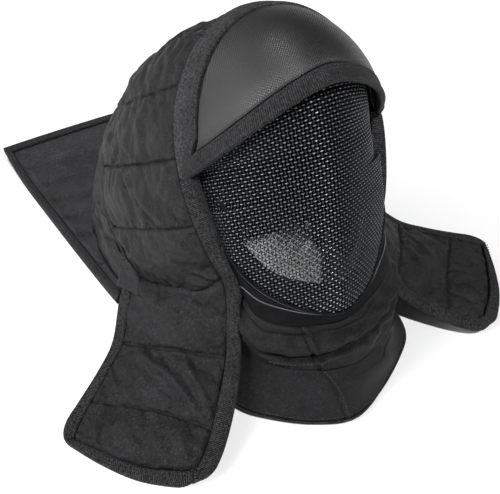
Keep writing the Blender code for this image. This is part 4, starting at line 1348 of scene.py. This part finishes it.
def side_panel(side, flip):
    rows, run = row_scale(0.0, LAST_ROW - 1)
    marks = np.interp(QUILT_ROWS, rows, run)
    row = np.interp(spaced(run[-1], 2.7, marks, fine=(1.3,)), run, rows)
    grid, normal, t, s = side_sheet(row, 45)
    near = from_seams(t, side_seams(t, row))
    edge = from_edges(s)
    seed = 2.0 if flip else 5.0
    lumps = 0.7 * rough(grid, 9.0, seed) + 0.6 * rough(grid, 22.0, seed + 3)
    lift = filled(grid, normal, near, edge, 4, lumps, 0.9, 0.035)
    grid, normal, t, s = side_sheet(between(row), 89)
    near = from_seams(t, side_seams(t, between(row)))
    edge = from_edges(s)
    more = seam_form(near) + cloth_waves(grid, seed, (0.5, 0.25)) * np.clip(near / 6, 0, 1)
    for r0, o0, r1, o1, tall, wide in SIDE_FOLDS[side]:
        share = np.linspace(0, 1, 12)
        line = side_at(r0 + (r1 - r0) * share, o0 + (o1 - o0) * share)
        free = np.clip(near / 4, 0.15, 1) * np.clip(edge / 3, 0.2, 1)
        more = more + fold(grid, normal, line, tall, wide) * free
    more = more + edge_drop(edge, 1.0, 1.1)
    outer = grid + lift + normal * more[..., None]
    under = grid - normal * PANEL_THICK
    outer[..., 2] = np.maximum(outer[..., 2], under[..., 2] + 0.6)
    if flip:
        outer, under = mirrored(outer), mirrored(under)
    looks = lined("quilt")
    made = pad("quilt_" + side, outer, under, s, t, looks, "side_panel_" + side)


def back_sheet(rows, columns):
    grid = back_grid(rows, columns)
    grid[0] += unit(grid[1] - grid[0]) * GAP
    grid[:, 0] += unit(grid[:, 1] - grid[:, 0]) * GAP * 2
    grid[:, -1] += unit(grid[:, -2] - grid[:, -1]) * GAP * 2
    return grid, head_normal(grid), lengths(grid, 0), lengths(grid, 1)


FACING = 62.0           # width of the strips, in the lining's look painted dark as shade, that lie on under the side panels, down the slits
FACING_TOP = 8.0        # and at their top
FACING_FROM = 0.60      # share of the rear panel's rows at which they start
# seams of the rear panel, as shares of its rows: they run on from those of the side panels
BACK_SEAMS = (0.0, 0.155, 0.308, 0.4615, 0.615, 0.769, 0.9, 1.0)


def back_seams(t):
    return [t[int(round(f * (len(t) - 1)))] for f in BACK_SEAMS]


def back_panel():
    grid, normal, t, s = back_sheet(101, 81)
    near = from_seams(t, back_seams(t))
    edge = from_edges(s)
    lumps = 0.8 * rough(grid, 11.0, 11.0) + 0.8 * rough(grid, 26.0, 14.0)
    lift = filled(grid, normal, near, edge, 5, lumps, 1.3, 0.03)
    grid, normal, t, s = back_sheet(201, 161)
    near = from_seams(t, back_seams(t))
    edge = from_edges(s)
    more = seam_form(near) + cloth_waves(grid, 11.0, (0.8, 0.3)) * np.clip(near / 6, 0, 1)
    more = more + edge_drop(edge, 1.4, 1.3)
    inner = grid - normal * PANEL_THICK
    outer = grid + lift + normal * more[..., None]
    outer[-1] = grid[-1]
    floor = NECK_THICK + SEAM_GAP
    for sheet in (outer, inner):
        sheet[-1, :, 2] = floor
        sheet[..., 2] = np.maximum(sheet[..., 2], floor)
    cover = slab(outer, inner, np.stack([s, t], -1))
    parts = [cover[:3]]
    low = slice(int(FACING_FROM * len(grid)), None)
    for k in (0, -1):
        edge_line, facing = grid[low, k], normal[low, k]
        away = unit(np.cross(unit(np.gradient(edge_line, axis=0)), facing))
        away *= np.sign(np.median(away[:, 2] - away[:, 1]))
        wide = FACING_TOP + (FACING - FACING_TOP) * np.clip(np.linspace(0, 1, len(edge_line)) / 0.6, 0, 1)
        reach = wide[:, None, None] * np.linspace(0, 1, 9)[None, :, None]
        base = edge_line[:, None] + away[:, None] * (reach - 2.0) - facing[:, None] * (PANEL_THICK + 0.4)
        base[..., 2] = np.maximum(base[..., 2], floor)
        parts.append(slab(base, base - facing[:, None] * 1.0, np.zeros(base.shape[:2] + (2,)))[:3])
    shape = joined(parts)
    which = np.concatenate([cover[3], np.ones((shape[3] > 0).sum(), int)])
    made = piece("quilt_back", (*shape[:3], which), lined("quilt"), "back_panel")


# ---- tapes ----
def tape_shape(grid, normal, rise, thick, uv_along, free=1.0, crown=0.4, grooves=()):
    """A tape on a grid of points, rows along it and columns across it: one closed profile per row."""
    s = lengths(grid, 1)
    width = s[:, -1:]
    away = width - s
    rise = np.broadcast_to(np.asarray(rise, float), s.shape)
    thick = np.broadcast_to(np.asarray(thick, float), s.shape)
    r = np.minimum(thick * 0.5, 2.6)
    inside = np.clip(r - away, 0, None)
    drop = free * (r - np.sqrt(np.maximum(r**2 - inside**2, 0)))
    near = np.clip(1.2 - s, 0, None)
    soft = 1.2 - np.sqrt(np.maximum(1.44 - near**2, 0))
    top = rise + crown * np.sin(np.pi * s / width) - drop - soft
    for at, deep, wide in grooves:
        top = top - deep * bell(s, at, wide)
    low = rise - thick + drop
    low = np.minimum(low, top - 0.3)
    up = grid + normal * top[..., None]
    down = grid + normal * low[..., None]
    rings = np.concatenate([up, down[:, ::-1]], 1)
    t = np.broadcast_to(np.asarray(uv_along, float)[:, None], s.shape)
    uv = np.concatenate([np.stack([t, s], -1), np.stack([t, s[:, ::-1]], -1)], 1)
    return loft(rings, uv)


def surface_line(grid, normal, at, lift):
    """A line along a tape's grid at a distance from its first column, raised by lift."""
    s = lengths(grid, 1)
    line = np.array([on_line(at, run, row) for run, row in zip(s, grid)])
    up = unit(np.array([on_line(at, run, row) for run, row in zip(s, normal)]))
    return line + up * lift, up


def thread_rows(name, parts, node_name):
    found = [p for p in parts if p is not None]
    shape = joined(found)
    return piece(name, shape[:3], [LOOKS["thread"]], node_name)


def tape(name, grid, normal, rise, thick, node_name, look="tape", column=-1, **form):
    """A ribbed tape on such a grid, its ribs evenly spaced along one column."""
    along = lengths(grid[:, [column]], 0)[:, 0]
    piece(name, tape_shape(grid, normal, rise, thick, along, **form), [LOOKS[look]], node_name)


def sewn(name, grid, normal, places, lift, node_name):
    """Rows of stitches along a tape, at these distances from its first column."""
    rows = [stitches(*surface_line(grid, normal, at, lift)) for at in places]
    thread_rows(name, rows, node_name)


def fine_rows(first, last, step):
    rows, run = row_scale(first, last, 1.0)
    along = np.linspace(0, run[-1], int(run[-1] / step) + 1)
    return np.interp(along, run, rows), along


# places of the stitched seams across each tape, from its first column
HEM_SEAMS = (2.2, 5.2)
EDGE_SEAMS = (2.6, 5.6)
BRIM_SEAMS = (1.8, 4.2)
NECK_SEAMS = (1.8, 4.6)
CROWN_SEAM = 19.5


def flap_binding(side, flip):
    rows, _ = fine_rows(SLIT_ROW + 0.04, LAST_ROW, 2.6)
    hem = LAST_ROW - 1 + 2 * GAP / 10
    columns = 11
    share = eased(columns)
    place, over = [], []
    for r in rows:
        inner = 1 - HEM_TAPE / side_width(r)
        if r <= hem:
            place.append(np.full(columns, r))
        else:
            place.append(hem + (r - hem) * share)
        over.append(inner + (1 - inner) * share)
    corner = 1 - HEM_TAPE / side_width(LAST_ROW)
    width = side_width(LAST_ROW)
    for part in np.linspace(1, 0, 56)[1:]:
        at = GAP / width + (1 - GAP / width) * part
        place.append(hem + (LAST_ROW - hem) * share)
        over.append(min(at, corner) + (at - min(at, corner)) * share)
    place, over = np.array(place), np.array(over)
    grid, normal = rounded(side_at(place, over)), side_normal(place, over)
    if flip:
        grid, normal = mirrored(grid), mirrored(normal)
    first, second = HEM_SEAMS
    grooves = [(first, 0.5, 0.7), (second, 0.4, 0.7)]
    tape("hem_tape_" + side, grid, normal, TAPE_RISE, TAPE_THICK, "flap_binding_" + side, grooves=grooves)
    sewn("hem_thread_" + side, grid, normal, HEM_SEAMS, TAPE_RISE + 0.25, "flap_binding_" + side)


def edge_band(side, flip):
    rows, _ = fine_rows(EDGE_FIRST, LAST_ROW, 2.6)
    lines, facing = edge_lines(rows)
    share = eased(15)[None, :, None]
    first, middle, last = lines[:, :1], lines[:, 1:2], lines[:, 2:]
    bow = middle - (first + last) / 2
    grid = rounded(first * (1 - share) + last * share + 4 * bow * share * (1 - share))
    base = normals(lines, (0, 40, 80))
    first, middle, last = facing, unit(base[:, 1] + facing), base[:, 2]
    two = 2 * share
    before = first[:, None] * (1 - two) + middle[:, None] * two
    after = middle[:, None] * (2 - two) + last[:, None] * (two - 1)
    normal = unit(np.where(share < 0.5, before, after))
    if flip:
        grid, normal = mirrored(grid), mirrored(normal)
    share = share[..., 0]
    even = np.ones((len(rows), 1))
    rise = np.interp(share, [0, 0.5, 1], [TAPE_RISE, TAPE_RISE + 1, 0.6]) * even
    thick = np.interp(share, [0, 0.5, 1], [TAPE_THICK, TAPE_THICK, EDGE_THIN + 1.6]) * even
    top = np.clip((EDGE_TURN_ROW - rows) / 0.6, 0, 1)[:, None]
    thick = thick + EDGE_TURN * top * share**2
    rise = rise - 2.4 * np.clip((EDGE_RISEN - rows[:, None]) / 0.16, 0, 1)
    first, second = EDGE_SEAMS
    grooves = [(first, 0.6, 0.8), (second, 0.5, 0.8)]
    tape("edge_tape_" + side, grid, normal, rise, thick, "edge_band_" + side, grooves=grooves)
    sewn("edge_thread_" + side, grid, normal, EDGE_SEAMS, TAPE_RISE + 0.35, "edge_band_" + side)


def forehead_panel():
    steps = 121
    low = brim(np.linspace(-BROW_HALF, BROW_HALF, steps), BRIM_TAPE + 1.9)
    turn = np.radians(BROW_TURN) * np.linspace(-1, 1, steps)
    high = head_at(np.full(steps, ARCH_FRONT - 4 * GAP), turn)
    share = spaced(100.0, 1.6, (0.0, 100.0), (0.5, 1.1))[:, None] / 100
    flat = low[None] * (1 - share[..., None]) + high[None] * share[..., None]
    x, back, up = wearer(flat)
    grid = on_head(x, back, up)
    normal = head_normal(grid)
    t, s = lengths(grid, 0), lengths(grid, 1)
    edge = np.minimum(t, t[-1:] - t)
    side = from_edges(s)
    lift = 0.5 * np.clip(edge / 12, 0, 1) ** 0.5 + 0.5 * rough(grid, 55.0, 4.0) * np.clip(edge / 10, 0, 1)
    lift = lift + edge_drop(np.minimum(edge, side), 0.7, 0.9)
    outer, inner = grid + normal * lift[..., None], grid - normal * CLOTH_THICK
    made = pad("brow", outer, inner, s, t, lined("brow"), "forehead_panel")


def forehead_band():
    steps = 200
    across = np.linspace(-BRIM_HALF - 3.5, BRIM_HALF + 3.5, steps)
    end = np.linspace(-BRIM_TOP, BRIM_TOP, steps)
    low, high = brim(across), brim(end, BRIM_TAPE + 1.4)
    share = eased(17)[None, :, None]
    flat = high[:, None] * (1 - share) + low[:, None] * share
    x, back, up = wearer(flat)
    grid = on_head(x, back, up)
    normal = head_normal(grid)
    s = lengths(grid, 1)
    rim = s[:, -1:] - s
    over = 1.6 * np.clip((np.abs(across) - 80.0) / 5.0, 0, 1)[:, None]
    roll = over + 1.1 * bell(rim, 2.4, 1.6) - 0.8 * bell(rim, 4.9, 0.7)
    rise, thick = TAPE_RISE - 0.6 + roll, TAPE_THICK - 1.1 + roll * 0.5
    first, second = BRIM_SEAMS
    form = {"look": "fine_tape", "column": 0, "crown": 0.2, "grooves": [(first, 0.3, 0.6)]}
    tape("brow_tape", grid, normal, rise, thick, "forehead_band", **form)
    rows = [(first, TAPE_RISE - 0.55), (second, TAPE_RISE - 0.4)]
    rows = [stitches(*surface_line(grid, normal, at, lift)) for at, lift in rows]
    thread_rows("brow_thread", rows, "forehead_band")


def crown_band():
    table = np.array(ARCH_FOOT)
    columns, rows = 25, 181
    share = eased(columns)
    backs = ARCH_FRONT + (ARCH_REAR - GAP - ARCH_FRONT) * share
    feet = np.interp(backs, table[:, 0], table[:, 1])
    lines = []
    for back, foot in zip(backs, feet):
        end = head_turn(back, foot)
        lines.append(head_at(np.full(rows, back), end * np.linspace(-1, 1, rows)))
    grid = np.stack(lines, 1)
    normal = head_normal(grid)
    s = lengths(grid, 1)
    heights = [0.6, PIPING_RISE, PIPING_RISE - 0.4, 0.6, TAPE_RISE, TAPE_RISE, 0.4]
    rise = np.interp(s / s[:, -1:], [0, 0.1, 0.2, 0.3, 0.5, 0.95, 1.0], heights)
    rise = rise + 0.35 * rough(grid, 18.0, 8.0)
    grooves = [(PIPING_WIDE, 0.9, 0.8), (CROWN_SEAM, 1.1, 0.8)]
    form = {"look": "crown", "column": columns // 2, "free": 0.8, "crown": 0.5, "grooves": grooves}
    tape("crown_tape", grid, normal, rise, rise + 4.6, "crown_band", **form)
    sewn("crown_thread", grid, normal, (CROWN_SEAM,), TAPE_RISE - 0.7, "crown_band")


NECK_QUILT = (33.0, 68.0, 104.0, 140.0, 176.0)  # seams of the neck panel, in from its hem tape


def rear_flap():
    part = neck_parts(50, 62)
    inner = notch(np.sign(part) * np.abs(part) ** 0.8, NECK_TUCK)[:, :2]
    outer = neck_line(part, HEM_TAPE)
    share = spaced(100.0, 2.4, (0.0, 100.0), (0.4, 1.0))[None, :, None] / 100
    flat = inner[:, None] * (1 - share) + outer[:, None] * share
    base = np.concatenate([flat, neck_rise(flat[..., 1])[..., None]], -1)
    s = lengths(base, 1)
    edge = s[:, -1:] - s
    y = flat[..., 1]
    rear = NECK_REAR[1] - HEM_TAPE
    marks = [rear - at for at in NECK_QUILT]
    dist = np.min([np.abs(y - m - 0.03 * np.abs(flat[..., 0])) for m in marks], axis=0)
    fade = np.clip((edge - 14) / 14, 0, 1)
    lift = 1.6 * (1 - bell(dist, 0.0, 8)) * fade + 1.2 * seam_form(dist, 1.6, 1.3, 0.4) * fade
    lift = lift + 0.8 * rough(base, 36.0, 12.0) * np.clip(edge / 8, 0, 1) + 0.25 * rough(base, 11.0, 3.0)
    tucked = np.clip((s - NECK_TUCK - 2.0) / 5.0, 0, 1)
    lift = lift * tucked + edge_drop(edge, 1.2, 1.4)
    lift = np.where(s < NECK_TUCK + 2.0, np.minimum(lift, 0.0), lift)
    high = base + np.array([0.0, 0.0, NECK_THICK])
    high[..., 2] += lift
    # its look is the quilt's cloth painted lighter, standing in for light
    made = piece("neck_quilt", slab(high, base, flat), lined("neck"), "rear_flap")


def rear_flap_binding():
    part = neck_parts(110, 110)
    share = eased(11)
    wide = HEM_TAPE - 2 * GAP
    flat = np.stack([neck_line(part, wide - wide * a) for a in share], 1)
    base = np.concatenate([flat, neck_rise(flat[..., 1])[..., None] + NECK_THICK], -1)
    normal = np.zeros_like(base)
    normal[..., 2] = 1.0
    grooves = [(at, 0.4, 0.7) for at in NECK_SEAMS]
    thick = NECK_THICK + TAPE_RISE
    tape("neck_tape", base, normal, TAPE_RISE, thick, "rear_flap_binding", grooves=grooves)
    sewn("neck_thread", base, normal, NECK_SEAMS, TAPE_RISE + 0.2, "rear_flap_binding")


# ---- bib ----
def bib_grid(first, last, rows, columns):
    down, over = np.meshgrid(np.linspace(first, last, rows), np.linspace(0, 1, columns), indexing="ij")
    grid = bib_at(down, over)
    return grid, normals(grid, (0, 0, 20)), down


# thin bead across the strip under the mesh: place from either end, and height up the strip as a share
BEAD = [
    (0.0, -0.05), (0.022, 0.2), (0.044, 0.40), (0.069, 0.55), (0.10, 0.62), (0.156, 0.63),
    (0.2, 0.67), (0.25, 0.74), (0.325, 0.81), (0.4, 0.88), (0.5, 0.93),
]


def bib_strip():
    count = 161
    over = np.linspace(0, 1, count)
    low, high = bib_at(np.zeros(count), over), jaw_line(over)
    low = low + unit(high - low) * 3.6 * GAP
    grid = np.stack([low + (high - low) * f for f in np.linspace(0, 1, 13)], 1)
    normal = normals(grid, (0, 0, 80))
    along = lengths(grid[:, :1], 0)[:, 0]
    shape = tape_shape(grid, normal, 0.0, STRIP_THICK, along, crown=0.5)
    away, height = np.array(BEAD).T
    place = np.minimum(over, 1 - over)
    rise = np.interp(place, away, height)[:, None]
    for _ in range(3):
        rise[1:-1] = (rise[:-2] + rise[1:-1] * 2 + rise[2:]) / 4
    sunk = np.clip((place[:, None] - 0.40) / 0.05, 0, 1)
    line = low * (1 - rise) + high * rise + normal[:, 6] * (0.7 - 2.2 * sunk)
    turn = (np.arange(6) / 6 * 2 * np.pi)[None, :, None]
    ahead = unit(np.gradient(line, axis=0))
    side = unit(np.cross(ahead, normal[:, 6]))
    ring = line[:, None] + 0.5 * (np.cos(turn) * side[:, None] + np.sin(turn) * normal[:, 6][:, None])
    bead = loft(ring, np.zeros((count, 6, 2)))
    piece("chin_strip", joined([shape, bead]), [LOOKS["trim"], LOOKS["bead"]], "bib_band")


def bib_collar():
    rows, columns = 41, 161
    grid, normal, down = bib_grid(0.004, COLLAR_PART, rows, columns)
    share = np.clip(down / COLLAR_PART, 0, 1)
    side = np.linspace(-1, 1, columns)[None]
    bulge = COLLAR_BULGE * np.sin(np.pi * share) ** 0.7 * (1 - 0.9 * np.abs(side) ** 5)
    t, s = lengths(grid, 0), lengths(grid, 1)
    share = share + 0.05 * rough(grid, 24.0, 3.0) + 0.04 * side
    bunch = np.exp(-(((side + 0.15) / 0.75) ** 4))
    wave = share + 0.07 * np.sin(3.4 * side + 0.6)
    rolls = 4.2 * bell(wave, 0.36, 0.12) - 6.2 * bell(wave, 0.56, 0.07)
    rolls = rolls + 1.6 * bell(wave, 0.70, 0.07) - 2.2 * bell(share, 0.10, 0.06)
    middle = s[:, columns // 2 : columns // 2 + 1] - 38.0 + 6.0 * share
    seam = -2.6 * bell(s, middle, 1.3) + 1.6 * bell(s - middle, 3.2, 2.4)
    creases = 2.4 * rough(grid * np.array([1.0, 1.0, 2.2]), 13.0, 6.0)
    creases = creases * np.sin(np.pi * np.clip(share, 0, 1)) ** 0.5
    lift = bulge + 0.3 + rolls * (0.35 + 0.65 * bunch) + seam + creases
    outer = grid + normal * lift[..., None]
    inner = grid - normal * BIB_WALL
    outer[0] = grid[0] + unit(grid[0] - grid[1]) * COLLAR_TUCK - normal[0] * 2.4
    inner[0] = outer[0] - normal[0] * BIB_WALL
    made = pad("bib_roll", outer, inner, s, t, lined("bib"), "bib_collar")
    k = np.abs(wave - 0.70).argmin(0)[30:84]
    j = np.arange(30, 84)
    row = stitches(outer[k, j] + normal[k, j] * 0.2, normal[k, j])
    thread_rows("collar_thread", [row], "bib_collar")


# folds of the bib: (down, over) of both ends, height, width
BIB_FOLDS = [
    ((0.36, 0.70), (0.62, 0.92), 3.2, 4.0),
    ((0.36, 0.58), (0.80, 0.72), 2.4, 6.0),
    ((0.40, 0.20), (0.85, 0.36), 1.8, 8.0),
    ((0.36, 0.40), (0.55, 0.50), 1.8, 5.0),
]


def bib_skirt():
    rows, columns = 61, 181
    grid, normal, _ = bib_grid(COLLAR_PART + 0.008, 0.945, rows, columns)
    t, s = lengths(grid, 0), lengths(grid, 1)
    middle = s[:, columns // 2 : columns // 2 + 1] - 32.0 + 24.0 * t / t[-1:]
    seam = -1.6 * bell(s, middle, 1.1) + 1.0 * bell(s - middle, 3.0, 2.2)
    ring = -0.8 * bell(t, 11.0, 0.9) * np.clip((s - middle) / 12, 0, 1)
    for start, end, tall, wide in BIB_FOLDS:
        line = bib_at(*(np.linspace(a, b, 12) for a, b in zip(start, end)))
        seam = seam + fold(grid, normal, line, tall, wide)
    edge = t[-1:] - t
    lift = seam + ring + 1.2 * rough(grid, 30.0, 2.0) + 0.2 * rough(grid, 9.0, 1.0)
    lift = lift + edge_drop(edge, 0.9, 1.3)
    outer = grid + normal * lift[..., None]
    inner = grid - normal * BIB_WALL
    outer[..., 2] = np.maximum(outer[..., 2], 0.4)
    inner[..., 2] = np.maximum(inner[..., 2], 0.2)
    cloth = pad("bib_cloth", outer, inner, s, t, lined("bib"), "bib_skirt")
    k = np.arange(rows)
    j = np.abs(s - middle).argmin(1) + 2
    down = stitches(outer[k, j] + normal[k, j] * 0.3, normal[k, j])
    hem = stitches(outer[-4] + normal[-4] * 0.2, normal[-4])
    thread = thread_rows("bib_thread", [down, hem], "bib_skirt")


def bib_binding():
    grid, normal, _ = bib_grid(0.953, 1.0, 9, 181)
    grid, normal = grid.transpose(1, 0, 2), normal.transpose(1, 0, 2)
    along = lengths(grid[:, -1:], 0)[:, 0]
    shape = tape_shape(grid, normal, 0.6, BIB_WALL + 0.2, along)
    shape[0][:, 2] = np.maximum(shape[0][:, 2], 0.0)
    piece("bib_tape", shape, [LOOKS["tape"]], "bib_binding")


# ---- small pieces ----
def tab(side, flip):
    rows = np.linspace(TAB_ROWS[0] - 0.25, TAB_ROWS[1], 22)
    place = np.repeat(rows[:, None], 18, 1)
    share = np.linspace(0, 1.2, 18)
    over = np.array([1 - TAB_WIDTH / side_width(row) * (1 - share) for row in rows])
    grid, normal = side_at(place, np.minimum(over, 1)), side_normal(place, np.minimum(over, 1))
    out = unit(grid[:, -1] - side_at(rows, 0.97))
    grid = grid + out[:, None] * TAB_WIDTH * np.clip(share - 1, 0, None)[None, :, None]
    s, t = lengths(grid, 1), lengths(grid, 0)
    lift = TAPE_RISE + 1.0 + TAB_THICK + 0.5 * rough(grid, 3.0, 1.0) + 0.35 * rough(grid, 8.0, 2.0)
    edge = np.minimum(from_edges(s), np.minimum(t, t[-1:] - t))
    lift = lift + edge_drop(edge, 0.9, 0.9)
    outer, inner = grid + normal * lift[..., None], grid + normal * (TAPE_RISE + 1.0)
    if flip:
        outer, inner = mirrored(outer), mirrored(inner)
    pad("tab_pile_" + side, outer, inner, s, t, [LOOKS["pile"]], "tab_" + side)


def strap_loop():
    at = np.array([
        [(-118.5, 166.0), (-112.0, 163.5)],
        [(-117.5, 158.0), (-111.0, 156.0)],
        [(-116.0, 150.5), (-109.5, 149.0)],
    ])
    u, v = np.meshgrid(np.linspace(0, 1, 19), np.linspace(0, 1, 9), indexing="ij")
    line = curve(at, u[:, 0])
    flat = line[:, :1] * (1 - v[..., None]) + line[:, 1:] * v[..., None] + np.array([-9.0, 0.0])
    low = np.concatenate([flat, np.full(flat.shape[:2] + (1,), NECK_THICK + 0.4)], -1)
    edge = np.minimum(np.minimum(u, 1 - u) * 16, np.minimum(v, 1 - v) * 7)
    high = low + np.array([0.0, 0.0, 3.0])
    high[..., 2] += edge_drop(edge, 1.4, 0.9) + 0.3 * rough(high, 2.5)
    piece("strap_end", slab(high, low, flat), [LOOKS["pile"]], "strap_loop")


# ---- stage ----
# direction of the room's bright side, and the strengths of that side, the rest and the pale cove below
BRIGHT = (-0.785, 0.366, 0.50)
BRIGHT_LIGHT = 1.6
ROOM_LIGHT = 0.05
COVE_LIGHT = 0.40
KEY_FROM, KEY_SIZE, KEY_LIGHT = (-1.40, -0.10, 1.05), 0.65, 12.0
KEY_AT = (0.0, -0.05, 0.12)
SUN_FROM, SUN_LIGHT, SUN_ANGLE = (-0.087, -0.492, 0.866), 3.2, 2.0
CAMERA_PLACE = (-0.2583, -0.4966, 0.4930)
CAMERA_TURN = (48.0, 0.0, -31.0)
FLOOR_HALF = 40.0       # in metres, as the places above


def studio():
    """A room with a dark ceiling, a pale cove round the floor and one brighter side."""
    made = bpy.data.worlds.new("studio")
    made.use_nodes = True
    tree = made.node_tree
    way = node(tree, "TexCoord").outputs["Generated"]
    toward = node(tree, "VectorMath", way, operation="DOT_PRODUCT")
    toward.inputs[1].default_value = Vector(BRIGHT).normalized()
    toward = toward.outputs["Value"]
    soft = {"interpolation_type": "SMOOTHSTEP"}
    side = node(tree, "MapRange", toward, 0.58, 1.0, ROOM_LIGHT, BRIGHT_LIGHT, **soft)
    height = node(tree, "SeparateXYZ", way).outputs[2]
    cove = node(tree, "MapRange", height, 0.04, 0.30, COVE_LIGHT, 0.0, **soft)
    back = tree.nodes["Background"]
    back.inputs[0].default_value = (1, 1, 1, 1)
    tree.links.new(math_node(tree, "MAXIMUM", side.outputs[0], cove.outputs[0]), back.inputs[1])
    return made


def lamp(name, kind, power, way):
    """A lamp that shines against this direction."""
    made = bpy.data.objects.new(name, bpy.data.lights.new(name, kind))
    made.data.energy = power
    made.rotation_euler = way.to_track_quat("Z", "Y").to_euler()
    bpy.context.scene.collection.objects.link(made)
    return made


def stage():
    scene = bpy.context.scene
    camera = bpy.data.cameras.new("camera")
    camera.lens, camera.sensor_width, camera.clip_start, camera.clip_end = 50, 36, 0.01, 20
    seen = bpy.data.objects.new("camera", camera)
    seen.location = CAMERA_PLACE
    seen.rotation_euler = np.radians(CAMERA_TURN)
    scene.collection.objects.link(seen)
    scene.camera = seen
    scene.world = studio()
    floor = bpy.data.meshes.new("floor")
    corners = [(x * FLOOR_HALF, y * FLOOR_HALF, 0) for x, y in ((-1, -1), (1, -1), (1, 1), (-1, 1))]
    floor.from_pydata(corners, [], [(0, 1, 2, 3)])
    ground = bpy.data.objects.new("floor", floor)
    floor.materials.append(make("floor", (0.9, 0.9, 0.9), 0.9)[0])
    scene.collection.objects.link(ground)
    key = lamp("key", "AREA", KEY_LIGHT, Vector(KEY_FROM) - Vector(KEY_AT))
    key.location, key.data.size = KEY_FROM, KEY_SIZE
    lamp("fill", "SUN", SUN_LIGHT, Vector(SUN_FROM)).data.angle = np.radians(SUN_ANGLE)
    scene.view_settings.view_transform = "Standard"


def build():
    stage()
    mesh_cage()
    mesh_trim()
    for side, flip in (("left", False), ("right", True)):
        side_panel(side, flip)
        flap_binding(side, flip)
        edge_band(side, flip)
        tab(side, flip)
    back_panel()
    forehead_panel()
    forehead_band()
    crown_band()
    rear_flap()
    rear_flap_binding()
    bib_strip()
    bib_collar()
    bib_skirt()
    bib_binding()
    strap_loop()


build()
